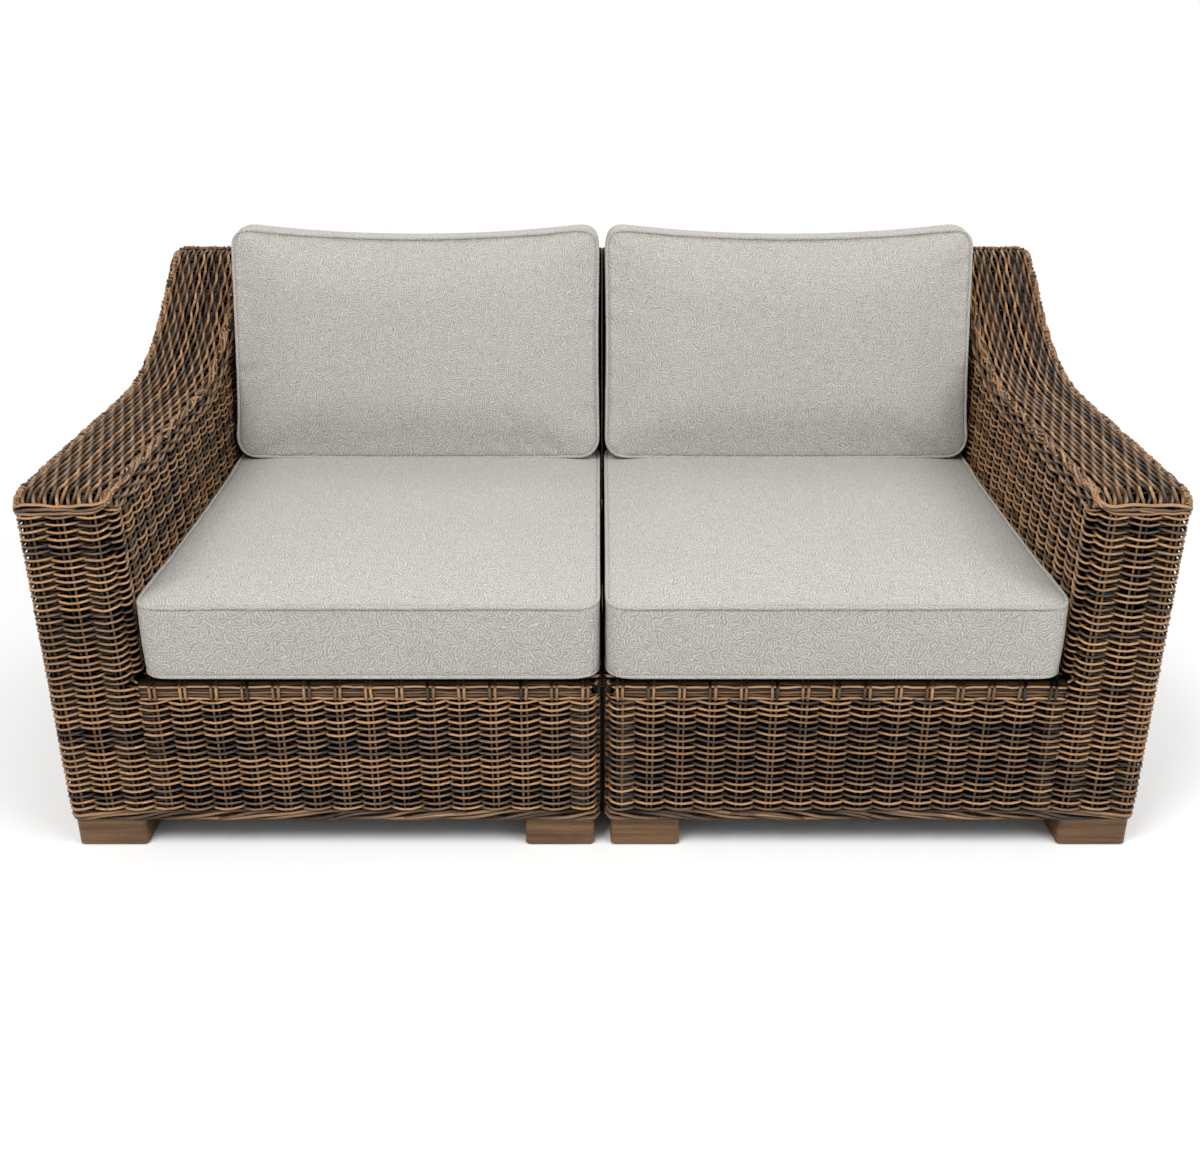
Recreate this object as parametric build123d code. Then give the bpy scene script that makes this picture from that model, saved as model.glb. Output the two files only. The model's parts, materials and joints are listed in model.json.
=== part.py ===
from build123d import *
import math
import os

# Woven patio loveseat: two matching seat sections stand side by side, each with one sloping
# arm, a leaning back, a seat deck, four block feet, a seat cushion and a back cushion.
# +Z is up and the front faces -Y. The origin is on the floor at the centre of the footprint.
# Left and right are as seen from the front. The right section is drawn, with x measured from
# the plane between the sections and y back from the front face; the left one mirrors it.

# Overall, in millimetres
section_width = 860.0        # plane between the sections to the outside of the arm
overall_depth = 985.0        # front face to the rearmost point of the crest
arm_height = 610.0           # floor to the level part of the arm
back_height = 788.0          # floor to the crest of the back
deck_height = 304.0          # floor to the deck that carries the seat cushion
arm_width = 145.0
joint_gap = 8.0              # air between the two woven end faces
skirt_height = 50.0          # floor to the lower edge of the woven skin

# Woven skin
skin = 8.0                   # thickness of the weave
border_height = 20.0         # plaited border along the lower edge
border_proud = 2.0           # how far the border stands out of the skin
outer_round = 20.0           # rounding of the arm's outer edges
inner_round = 32.0           # rounding of the arm's inner edges
joint_round = 22.0           # rounding of the front corner at the joint
rim = 34.0                   # how far the woven rim pieces reach past an edge
front_round = 38.0           # rounding where the arm top turns down the front
wrap_height = 35.0           # wrapped rail at the front of the deck
wrap_round = 7.0
course_pitch = 11.4          # from one standing weaver to the next above it
course_hollow = 4.8          # height of the hollow between them
course_depth = 3.0

# Side profile of the arm and back
sweep_radius = 500.0         # hollow curve from the arm up to the back
sweep_angle = 34.0           # steepest slope of that curve, in degrees
crest_radius = 80.0          # rounding at the top of the sweep
crest_flat = 10.0
back_round = 36.0            # rounding at the rear of the crest
back_rake = 4.4              # lean of the outside of the back, in degrees
rest_lean = 14.0             # lean of the face behind the back cushion, in degrees
rest_round = 40.0            # rounding at the top of that face

# Tube frame
tube = 25.0
tube_wall = 1.5
slat_width = 30.0
slat_height = 20.0
slat_count = 3

# Feet, glides and screws
foot_width = 112.0
foot_inset = 9.0             # foot to the side of its section
foot_setback = 6.0           # foot to the front or rear of the skin
foot_edge = 8.0              # rounding of a foot's upright edges
glide_height = 3.0
glide_radius = 11.0
glide_stem_radius = 2.0
glide_stem_length = 14.0
screw_radius = 2.5
screw_head_radius = 5.0
screw_head_height = 3.5
screw_recess = 6.0           # depth of the screw head inside the foot
screw_bite = 14.0            # length of a foot screw inside the tube above it
screw_spacing = 60.0
screw_clearance = 0.1

# Clips that hold the two sections together from below
clip_wall = 3.0
clip_length = 40.0
clip_grip = 16.0             # height of a clip's legs beside the tubes
clip_clearance = 0.3
clip_share = (0.13, 0.88)    # places of the clips between the front and rear feet

# Cushions
cushion_gap = 1.0            # air between a cushion and the arm
cushion_centre_gap = 3.0     # air between the left and right cushions
rest_clearance = 0.4         # air under the seat cushion and behind the back cushion
seat_rear_gap = 17.1         # air between the seat cushion and the foot of the rest
seat_cushion_thickness = 123.0
seat_crown = 18.0
seat_draw = 4.0              # how far its edges are pulled in between their corners
back_cushion_height = 421.0
back_cushion_thickness = 141.0
back_crown = 26.0
back_top_draw = 20.0         # how far its long top edge is pulled down between the corners
back_side_draw = 7.0
back_low_draw = 2.0
cushion_corner = 34.0
boxing_bulge = 2.0
cover_wall = 6.0             # cloth over a soft wrap
core_clearance = 0.4
welt_radius = 3.5
welt_clearance = 0.15
pillow_clearance = 1.5       # air between the seat's crown and the back cushion

# The crown of a cushion: insets as shares of its half size, rises as shares of its crown
crown_inset_share = (0.0, 0.09, 0.3, 0.62)
crown_rise_share = (0.0, 0.42, 0.82, 1.0)
seat_centre_share = 0.44     # place of the seat's crown between its front and rear edges

# Places of the bars between the tube hoops, as shares of the stretch that each one spans
front_bar_share = 0.55
level_bar_share = (0.2, 0.8)
slope_bar_share = 0.3
rest_bar_share = (0.04, 0.5)
rear_bar_share = (0.4, 0.8)

overrun = 20.0               # how far a cutting block runs past what it cuts

# Places that follow from the sizes
joint_x = joint_gap / 2
arm_x = section_width - arm_width
inner_x = joint_x + skin
outer_x = section_width - skin
border_top = skirt_height + border_height
deck_under = deck_height - skin
sweep_slope = math.radians(sweep_angle)
rake_slope = math.radians(back_rake)
lean_slope = math.radians(rest_lean)
crest_y = overall_depth - back_round - crest_flat
rake_skin = skin / math.cos(rake_slope)
lean_skin = skin / math.cos(lean_slope)
pit = -(rim + tube)          # raw profiles run this far below the floor and are then cut
tube_inset = skin + tube


def turn(centre, radius, degrees):
    """The point of a circle at an angle."""
    angle = math.radians(degrees)
    return (centre[0] + radius * math.cos(angle), centre[1] + radius * math.sin(angle))


rear_centre = (overall_depth - back_round, back_height - back_round)
rest_centre = (crest_y, back_height - rest_round)
rest_touch = turn(rest_centre, rest_round, 180 - rest_lean)
rear_touch = turn(rear_centre, back_round, -back_rake)


def back_line(height):
    """Depth of the outside of the back at a height."""
    return rear_touch[0] - (rear_touch[1] - height) * math.tan(rake_slope)


def rest_line(height):
    """Depth of the face behind the back cushion at a height."""
    return rest_touch[0] - (rest_touch[1] - height) * math.tan(lean_slope)


rear_inside = back_line(border_top) - rake_skin
seat_cushion_depth = rest_line(deck_height) - seat_rear_gap


def upright(points):
    """A face in the side view, from its corners."""
    return make_face(Polyline(*points, close=True))


def across(face, low_x, high_x):
    """A face of the side view, run from low_x to high_x."""
    return extrude(Plane.YZ.offset(low_x) * face, amount=high_x - low_x)


def block(low, high):
    """A rectangular solid between two corners."""
    size = [b - a for a, b in zip(low, high)]
    return Pos(*low) * Box(*size, align=(Align.MIN, Align.MIN, Align.MIN))


def pin(x, y, low, high, radius):
    """An upright round bar."""
    return Pos(x, y, low) * Cylinder(radius, high - low,
                                     align=(Align.CENTER, Align.CENTER, Align.MIN))


def above(height):
    """All the space over a height."""
    return block((-overrun, -overrun, height),
                 (section_width + overrun, overall_depth + overrun, back_height + overrun))


# Side profiles


def front_edges():
    """The upright front of the arm."""
    return [Line((0, pit), (0, arm_height - front_round))]


def arm_top_edges():
    """The arm's top: front rounding, level top, hollow sweep, slope and upper rounding."""
    rise = back_height - arm_height
    bends = (sweep_radius + crest_radius) * (1 - math.cos(sweep_slope))
    slope_run = (rise - bends) / math.tan(sweep_slope)
    run = (sweep_radius + crest_radius) * math.sin(sweep_slope) + slope_run
    level_end = crest_y - run
    front_centre = (front_round, arm_height - front_round)
    sweep_centre = (level_end, arm_height + sweep_radius)
    crest_centre = (crest_y, back_height - crest_radius)
    sweep_end = turn(sweep_centre, sweep_radius, sweep_angle - 90)
    crest_start = turn(crest_centre, crest_radius, 90 + sweep_angle)
    return [
        ThreePointArc((0, front_centre[1]), turn(front_centre, front_round, 135),
                      (front_round, arm_height)),
        Line((front_round, arm_height), (level_end, arm_height)),
        ThreePointArc((level_end, arm_height),
                      turn(sweep_centre, sweep_radius, sweep_angle / 2 - 90), sweep_end),
        Line(sweep_end, crest_start),
        ThreePointArc(crest_start, turn(crest_centre, crest_radius, 90 + sweep_angle / 2),
                      (crest_y, back_height)),
    ]


def crest_edges():
    """The flat of the crest and its rear rounding."""
    top_rear = (rear_centre[0], back_height)
    return [
        Line((crest_y, back_height), top_rear),
        ThreePointArc(top_rear, turn(rear_centre, back_round, 45), rear_touch),
    ]


def back_edges():
    """The raked outside of the back."""
    return [Line(rear_touch, (back_line(pit), pit))]


def floor_edges():
    """The line that closes a raw profile far below the skirt."""
    return [Line((back_line(pit), pit), (0, pit))]


def seat_edges():
    """The front, the deck, the leaning rest and the front rounding of the crest."""
    foot = (rest_line(deck_height), deck_height)
    return [
        Line((0, pit), (0, deck_height)),
        Line((0, deck_height), foot),
        Line(foot, rest_touch),
        ThreePointArc(rest_touch, turn(rest_centre, rest_round, (90 + 180 - rest_lean) / 2),
                      (crest_y, back_height)),
    ]


def arm_profile(inset):
    """Side view of the arm, drawn in by an inset."""
    edges = front_edges() + arm_top_edges() + crest_edges() + back_edges() + floor_edges()
    return offset(make_face(edges), amount=-inset, kind=Kind.INTERSECTION)


def seat_profile(inset):
    """Side view of the seat and the back between the arms, drawn in by an inset."""
    edges = seat_edges() + crest_edges() + back_edges() + floor_edges()
    return offset(make_face(edges), amount=-inset, kind=Kind.INTERSECTION)


# Woven skin


def strip(low_x, high_x, near, far, low_round, high_round):
    """A rectangle in a section plane, whose two corners at the near depth can be rounded."""
    corners = [(low_x, near), (high_x, near), (high_x, far), (low_x, far)]
    shape = Sketch() + make_face(Polyline(*corners, close=True))
    for (corner_x, _), radius in zip(corners[:2], (low_round, high_round)):
        if radius:
            spot = shape.vertices().sort_by_distance((corner_x, near, 0))[0]
            shape = fillet(spot, radius)
    return shape


def rim_section(low_x, high_x, low_round, wall=skin):
    """Section of a woven rim: a strip with a rounded edge and a flange at its outer end,
    and at its inner end too unless low_round is zero."""
    solid = strip(low_x, high_x, 0, rim, low_round, outer_round)
    low_end = low_x + wall if low_round else low_x - overrun
    hollow = strip(low_end, high_x - wall, wall, rim + overrun,
                   max(low_round - wall, 0), outer_round - wall)
    return solid - hollow


def ribbed(panel, layer):
    """A panel with a hollow in its outer layer between each two courses of the weave."""
    hollows = []
    top = border_top + course_pitch
    while top < back_height:
        slab = block((-overrun, -overrun, top - course_hollow),
                     (section_width + overrun, overall_depth + overrun, top))
        cut = layer & slab
        if cut:
            hollows += cut.solids()
        top += course_pitch
    return panel - hollows


def along(section, edges):
    """A section swept along edges of the side view, with its depth into the body."""
    path = Plane.YZ * Wire(edges)
    start = path @ 0
    plane = Plane((0, start.Y, start.Z), x_dir=(1, 0, 0), z_dir=path % 0)
    return sweep(plane * section, path=path)


def arm_panels():
    """The woven skin of the arm: front, top, outer side and inner side."""
    rim_top = arm_height - front_round
    low_front = [Line((0, border_top), (0, deck_height))]
    high_front = [Line((0, deck_height), (0, rim_top))]
    field = arm_profile(rim)
    inner_field = field & upright([
        (0, deck_height), (rest_line(deck_height), deck_height),
        (rest_line(back_height), back_height), (0, back_height)])
    outer_field = field & upright([
        (0, border_top), (overall_depth, border_top), (overall_depth, back_height),
        (0, back_height)])
    top_section = rim_section(arm_x, section_width, inner_round)
    front = (along(rim_section(arm_x, section_width, 0.0), low_front)
             + along(top_section, high_front))
    front_layer = (along(rim_section(arm_x, section_width, 0.0, course_depth), low_front)
                   + along(rim_section(arm_x, section_width, inner_round, course_depth),
                           high_front))
    return {
        "arm_front_panel": ribbed(front, front_layer),
        "arm_top_panel": along(top_section, arm_top_edges()),
        "arm_outer_panel": ribbed(across(outer_field, outer_x, section_width),
                                  across(outer_field, section_width - course_depth,
                                         section_width)),
        "arm_inner_panel": across(inner_field, arm_x, arm_x + skin),
    }


def back_panels():
    """The woven skin of the back: crest, outside, and the rest behind the cushion."""
    section = rim_section(joint_x, section_width, 0.0)
    inner_touch = turn(rest_centre, rest_round - skin, 180 - rest_lean)
    middle = (90 + 180 - rest_lean) / 2
    crest_front = make_face([
        ThreePointArc(rest_touch, turn(rest_centre, rest_round, middle),
                      (crest_y, back_height)),
        Line((crest_y, back_height), (crest_y, back_height - skin)),
        ThreePointArc((crest_y, back_height - skin),
                      turn(rest_centre, rest_round - skin, middle), inner_touch),
        Line(inner_touch, rest_touch)])
    rake = [Line(rear_touch, (back_line(skirt_height), skirt_height))]
    layer = along(rim_section(joint_x, section_width, 0.0, course_depth), rake)
    rest = upright([
        rest_touch, inner_touch,
        (rest_line(deck_under) + lean_skin, deck_under), (rest_line(deck_under), deck_under)])
    return {
        "crest_panel": along(section, crest_edges()) + across(crest_front, joint_x, arm_x),
        "back_panel": ribbed(along(section, rake) & above(border_top), layer),
        "back_rest_panel": across(rest, joint_x, arm_x),
    }


def seat_panels():
    """The woven skin of the seat: apron, wrapped rail, deck and the end at the joint."""
    wrap_low = deck_height - wrap_height
    plan = strip(joint_x, arm_x, 0, joint_round + overrun, joint_round, 0.0)
    hollow, shallow = (strip(joint_x + wall, arm_x + overrun, wall,
                             joint_round + 2 * overrun, joint_round - wall, 0.0)
                       for wall in (skin, course_depth))
    apron, layer = (extrude(Plane.XY.offset(border_top) * (plan - inside),
                            amount=wrap_low - border_top)
                    & block((joint_x, 0, border_top), (arm_x, joint_round, wrap_low))
                    for inside in (hollow, shallow))
    wrap_face = Sketch() + upright([
        (0, wrap_low), (0, deck_height), (joint_round, deck_height), (joint_round, wrap_low)])
    wrap_edge = wrap_face.vertices().sort_by_distance((0, deck_height, 0))[0]
    wrap = across(fillet(wrap_edge, wrap_round), joint_x, arm_x)
    wrap &= extrude(Plane.XY.offset(wrap_low) * plan, amount=wrap_height)
    wrap -= extrude(Plane.XY.offset(wrap_low - overrun) * hollow,
                    amount=wrap_height - skin + overrun)
    deck = upright([
        (joint_round, deck_under), (rest_line(deck_under), deck_under),
        (rest_line(deck_height), deck_height), (joint_round, deck_height)])
    low_end = upright([
        (joint_round, border_top), (rear_inside, border_top),
        (back_line(deck_under) - rake_skin, deck_under), (joint_round, deck_under)])
    high_end = seat_profile(skin) & upright([
        (0, deck_under), (overall_depth, deck_under), (overall_depth, back_height),
        (0, back_height)])
    return {
        "apron_panel": ribbed(apron, layer),
        "deck_rail_wrap": wrap,
        "seat_deck": across(deck, joint_x, arm_x),
        "lower_end_panel": across(low_end, joint_x, inner_x),
        "upper_end_panel": across(high_end, joint_x, inner_x),
    }


def border():
    """The plaited border round the lower edge."""
    outside = block((joint_x - border_proud, -border_proud, skirt_height),
                    (section_width + border_proud, back_line(border_top) + border_proud,
                     border_top))
    corners = outside.edges().filter_by(Axis.Z).sort_by(Axis.X)
    outside = fillet(corners[2:], outer_round + border_proud)
    return outside - block((inner_x, skin, skirt_height), (outer_x, rear_inside, border_top))


# Tube frame


def hollow_bar(face, low_x, high_x):
    """A tube across the section, from its outline in the side view."""
    bore = offset(face, amount=-tube_wall, kind=Kind.INTERSECTION)
    return across(face, low_x, high_x) - across(bore, low_x, high_x)


def hoop(profile, low_x):
    """A bent tube that follows a side profile just inside the skin."""
    outside = across(profile(skin) - profile(tube_inset), low_x, low_x + tube)
    bore = across(profile(skin + tube_wall) - profile(tube_inset - tube_wall),
                  low_x + tube_wall, low_x + tube - tube_wall)
    return (outside - bore) & above(border_top)


def leaning_bar(foot, head, share):
    """Outline of a square tube on the right of a line, at a share of its length."""
    run = Vector(*head) - Vector(*foot)
    step = run.normalized() * tube
    side = Vector(step.Y, -step.X)
    start = Vector(*foot) + run * share + side * (skin / tube)
    corners = (start, start + step, start + step + side, start + side)
    return upright([(corner.X, corner.Y) for corner in corners])


def square(low_y, low_z, depth=tube, height=tube):
    """Outline of an upright bar in the side view."""
    return upright([(low_y, low_z), (low_y + depth, low_z), (low_y + depth, low_z + height),
                    (low_y, low_z + height)])


def foot_corners():
    """Low corner of each foot of the section, by name."""
    near, far = joint_x + foot_inset, section_width - foot_inset - foot_width
    front = foot_setback
    rear = back_line(border_top) - foot_setback - foot_width
    return {
        "front_inner": (near, front), "front_outer": (far, front),
        "rear_inner": (near, rear), "rear_outer": (far, rear),
    }


def screw_places():
    """Centres of the foot screws, under the front and rear rails of the base."""
    front, rear = skin + tube / 2, rear_inside - tube / 2
    places = []
    for name, (foot_x, _) in foot_corners().items():
        middle = foot_x + foot_width / 2
        line = front if name.startswith("front") else rear
        places += [(middle + side * screw_spacing / 2, line) for side in (-1, 1)]
    return places


def base_frame():
    """Welded ring of flat tube at the bottom, with a rail under the seat's inner hoop."""
    outside = block((inner_x, skin, skirt_height), (outer_x, rear_inside, border_top))
    middle = seat_hoop_x()[1]
    opening_y = (skin + tube, rear_inside - tube)
    wells = [(inner_x + tube, middle), (middle + tube, outer_x - tube)]
    for low_x, high_x in wells:
        outside -= block((low_x, opening_y[0], skirt_height),
                         (high_x, opening_y[1], border_top))
    low_z, high_z = skirt_height + tube_wall, border_top - tube_wall
    for low_y in (skin, rear_inside - tube):
        outside -= block((inner_x + tube_wall, low_y + tube_wall, low_z),
                         (outer_x - tube_wall, low_y + tube - tube_wall, high_z))
    for low_x in (inner_x, middle, outer_x - tube):
        outside -= block((low_x + tube_wall, opening_y[0] + tube_wall, low_z),
                         (low_x + tube - tube_wall, opening_y[1] - tube_wall, high_z))
    for x, y in screw_places():
        outside -= pin(x, y, skirt_height, low_z, screw_radius + screw_clearance)
    return outside


def seat_hoop_x():
    """Near faces of the two hoops that carry the seat and the back."""
    return (joint_x + joint_round, arm_x - tube)


def seat_frame():
    """The seat's two bent hoops, tied by rails, slats and bars."""
    first, second = seat_hoop_x()
    rest_foot = (rest_line(deck_height), deck_height)
    faces = [
        square(skin, deck_under - tube),
        square(rest_foot[0] - tube, deck_under - tube),
        square(crest_y + (crest_flat - tube) / 2, rest_centre[1] - tube / 2),
    ]
    faces += [leaning_bar(rest_foot, rest_touch, share) for share in rest_bar_share]
    pitch = (rest_foot[0] - tube_inset - tube) / (slat_count + 1)
    for index in range(slat_count):
        low_y = tube_inset + pitch * (index + 1) - slat_width / 2
        faces.append(square(low_y, deck_under - slat_height, slat_width, slat_height))
    frame = hoop(seat_profile, first) + hoop(seat_profile, second)
    for face in faces:
        frame += hollow_bar(face, first + tube, second)
    return frame


def arm_frame():
    """The arm's two bent hoops, tied by short bars."""
    first, second = arm_x + inner_round, section_width - outer_round - tube
    level_start, level_end = (arm_top_edges()[1] @ end for end in (0, 1))
    slope_start, slope_end = (arm_top_edges()[3] @ end for end in (0, 1))
    low_rear = (back_line(border_top), border_top)
    faces = [
        leaning_bar((0, border_top), (0, level_start.Y), front_bar_share),
        leaning_bar((slope_start.X, slope_start.Y), (slope_end.X, slope_end.Y),
                    slope_bar_share),
    ]
    faces += [leaning_bar((level_start.X, level_start.Y), (level_end.X, level_end.Y), share)
              for share in level_bar_share]
    faces += [leaning_bar(rear_touch, low_rear, share) for share in rear_bar_share]
    frame = hoop(arm_profile, first) + hoop(arm_profile, second)
    for face in faces:
        frame += hollow_bar(face, first + tube, second)
    return frame


# Feet


def foot_parts():
    """The four block feet, their screws and their glides."""
    parts = {}
    screws, glides = [], []
    head_top = glide_height + screw_recess + screw_head_height
    for x, y in screw_places():
        screws.append(pin(x, y, head_top - screw_head_height, head_top, screw_head_radius)
                      + pin(x, y, head_top, skirt_height + screw_bite, screw_radius))
    for name, (foot_x, foot_y) in foot_corners().items():
        foot = block((foot_x, foot_y, glide_height),
                     (foot_x + foot_width, foot_y + foot_width, skirt_height))
        foot = fillet(foot.edges().filter_by(Axis.Z), foot_edge)
        for x, y in screw_places():
            foot -= pin(x, y, glide_height, head_top, screw_head_radius + screw_clearance)
            foot -= pin(x, y, head_top, skirt_height, screw_radius + screw_clearance)
        x, y = foot_x + foot_width / 2, foot_y + foot_width / 2
        stem_top = glide_height + glide_stem_length
        foot -= pin(x, y, glide_height, stem_top, glide_stem_radius + screw_clearance)
        glides.append(pin(x, y, 0, glide_height, glide_radius)
                      + pin(x, y, glide_height, stem_top, glide_stem_radius))
        parts["foot_" + name] = foot
    parts["foot_screws"] = Compound(screws)
    parts["foot_glides"] = Compound(glides)
    return parts


def joint_clips():
    """Channel clips that hug the side rails of both sections from below."""
    half_inner = inner_x + tube + clip_clearance
    half_outer = half_inner + clip_wall
    top = skirt_height - clip_clearance
    feet = foot_corners()
    front_end, rear_start = feet["front_inner"][1] + foot_width, feet["rear_inner"][1]
    clips = []
    for share in clip_share:
        low_y = front_end + (rear_start - front_end - clip_length) * share
        solid = block((-half_outer, low_y, top - clip_wall),
                      (half_outer, low_y + clip_length, skirt_height + clip_grip))
        clips.append(solid - block((-half_inner, low_y, top),
                                   (half_inner, low_y + clip_length,
                                    skirt_height + clip_grip)))
    return Compound(clips)


# Cushions


def outline(low, high, draws, inset=0.0):
    """A rounded rectangle whose near, right, far and left edges are drawn in, inset all
    round. A shallow arc ends at a slope of four times its draw over its span."""
    width, length = high[0] - low[0], high[1] - low[1]
    shifts = [4 * inset * draw / span
              for draw, span in zip(draws, (width, length, width, length))]
    near, right, far, left = (draw - shift for draw, shift in zip(draws, shifts))
    low_x, low_v = low[0] + inset + shifts[3], low[1] + inset + shifts[0]
    high_x, high_v = high[0] - inset - shifts[1], high[1] - inset - shifts[2]
    mid_x, mid_v = (low_x + high_x) / 2, (low_v + high_v) / 2
    shape = Sketch() + make_face([
        ThreePointArc((low_x, low_v), (mid_x, low_v + near), (high_x, low_v)),
        ThreePointArc((high_x, low_v), (high_x - right, mid_v), (high_x, high_v)),
        ThreePointArc((high_x, high_v), (mid_x, high_v - far), (low_x, high_v)),
        ThreePointArc((low_x, high_v), (low_x + left, mid_v), (low_x, low_v))])
    return fillet(shape.vertices(), cushion_corner - inset)


class Pillow:
    """A boxed cushion on a plane: a flat underside, upright boxing and a crowned face."""

    def __init__(self, plane, low, high, rise, draws, thickness, crown, centre_share):
        self.plane = plane
        self.low, self.high = low, high
        self.rise = rise                  # how much later the near edge starts underneath
        self.draws = draws
        self.thickness, self.crown = thickness, crown
        self.centre = (
            (low[0] + high[0]) / 2,
            low[1] + (high[1] - low[1]) * centre_share,
        )

    def section(self, height, inset, seam=None):
        """The outline of the boxing at a height over the plane, or a seam's outline there."""
        lift = self.rise * (1 - (height if seam is None else seam) / self.thickness)
        low = (self.low[0], self.low[1] + lift)
        return self.plane.offset(height) * outline(low, self.high, self.draws, inset)

    def crown_section(self, base, rise, share, inset):
        """The outline of the crown, drawn in towards its centre by a share."""
        keep = 1 - share
        low = [c + (edge - c) * keep for edge, c in zip(self.low, self.centre)]
        high = [c + (edge - c) * keep for edge, c in zip(self.high, self.centre)]
        draws = [draw * keep for draw in self.draws]
        return self.plane.offset(base + rise) * outline(low, high, draws, inset)

    def body(self):
        """The cushion as a solid, with a channel round each seam for its welt."""
        reach = welt_radius + welt_clearance
        low, high = welt_radius + reach, self.thickness - reach
        foot = loft([self.section(height, reach, seam=welt_radius) for height in (0.0, low)])
        boxing = loft([self.section(low, 0.0),
                       self.section((low + high) / 2, -boxing_bulge),
                       self.section(high, 0.0)])
        neck = loft([self.section(height, reach, seam=self.thickness)
                     for height in (high, high + 2 * reach)])
        crown = loft([self.crown_section(self.thickness, max(self.crown * rise, reach),
                                         share, 0.0)
                      for share, rise in zip(crown_inset_share, crown_rise_share)])
        return foot + boxing + neck + crown

    def filling(self, inset):
        """The space inside the cover, drawn in all round by an inset."""
        low, high = inset, self.thickness - inset
        boxing = loft([self.section(low, inset),
                       self.section((low + high) / 2, inset - boxing_bulge),
                       self.crown_section(high, 0.0, 0.0, inset)])
        crown = loft([self.crown_section(high, self.crown * rise, share, inset)
                      for share, rise in zip(crown_inset_share, crown_rise_share)])
        return boxing + crown

    def welts(self):
        """Round cords along the upper and lower seams."""
        cords = []
        for height in (welt_radius, self.thickness):
            path = self.section(height, 0.0).wires()[0]
            section = Plane(path @ 0, z_dir=path % 0) * Circle(welt_radius)
            cords.append(sweep(section, path=path))
        return cords

    def parts(self, name):
        """Cover, foam core and welts as named solids."""
        return {
            name + "_cover": self.body() - self.filling(cover_wall),
            name + "_core": self.filling(cover_wall + core_clearance),
            name + "_welts": Compound(self.welts()),
        }


def crown_at(pillow, depth):
    """Height of a cushion's crown over its seam at a depth near its far edge."""
    share = (pillow.high[1] - depth) / (pillow.high[1] - pillow.centre[1])
    steps = list(zip(crown_inset_share, crown_rise_share))
    for (low, low_rise), (high, high_rise) in zip(steps, steps[1:]):
        if share < high:
            part = (share - low) / (high - low)
            return pillow.crown * (low_rise + part * (high_rise - low_rise))
    return pillow.crown


def cushions():
    """The seat cushion and the back cushion of the section."""
    low_x = cushion_centre_gap / 2 + welt_radius
    high_x = arm_x - cushion_gap - welt_radius
    seat_base = deck_height + rest_clearance
    seat = Pillow(Plane.XY.offset(seat_base), (low_x, welt_radius),
                  (high_x, seat_cushion_depth - welt_radius), 0.0, [seat_draw] * 4,
                  seat_cushion_thickness, seat_crown, seat_centre_share)
    seam_z = seat_base + seat_cushion_thickness
    front_y = rest_line(seam_z) - back_cushion_thickness / math.cos(lean_slope)
    base_z = seam_z + crown_at(seat, front_y) + welt_radius + pillow_clearance
    rear_gap = rest_clearance / math.cos(lean_slope)
    base = Plane((0, rest_line(base_z) - rear_gap, base_z), x_dir=(1, 0, 0),
                 z_dir=(0, -math.cos(lean_slope), math.sin(lean_slope)))
    slant = math.tan(lean_slope)
    back = Pillow(base, (low_x, -back_cushion_thickness * slant),
                  (high_x, back_cushion_height - back_cushion_thickness * slant),
                  back_cushion_thickness * slant,
                  [back_low_draw, back_side_draw, back_top_draw, back_side_draw],
                  back_cushion_thickness, back_crown, 1 / 2)
    return seat.parts("seat_cushion") | back.parts("back_cushion")


# Assembly


def section_parts():
    """Every piece of the right section, by name."""
    parts = {
        "base_frame": base_frame(), "seat_frame": seat_frame(), "arm_frame": arm_frame(),
        "border_plait": border(),
    }
    return parts | arm_panels() | back_panels() | seat_panels() | foot_parts() | cushions()


os.makedirs("parts", exist_ok=True)
to_origin = Pos(0, (border_proud - overall_depth) / 2, 0)
for name, solid in section_parts().items():
    placed = to_origin * solid
    export_step(placed, f"parts/{name}_right.step")
    export_step(mirror(placed, about=Plane.YZ), f"parts/{name}_left.step")
export_step(to_origin * joint_clips(), "parts/joint_clips.step")
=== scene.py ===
"""Woven patio loveseat: the strands, cushions, finishes, light and camera round its frame."""

import json
import logging
import math
import zlib
from collections.abc import Callable, Iterable, Sequence
from dataclasses import dataclass, replace
from enum import Enum

import bmesh
import bpy
import numpy as np
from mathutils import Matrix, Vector
from mathutils.bvhtree import BVHTree

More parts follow.
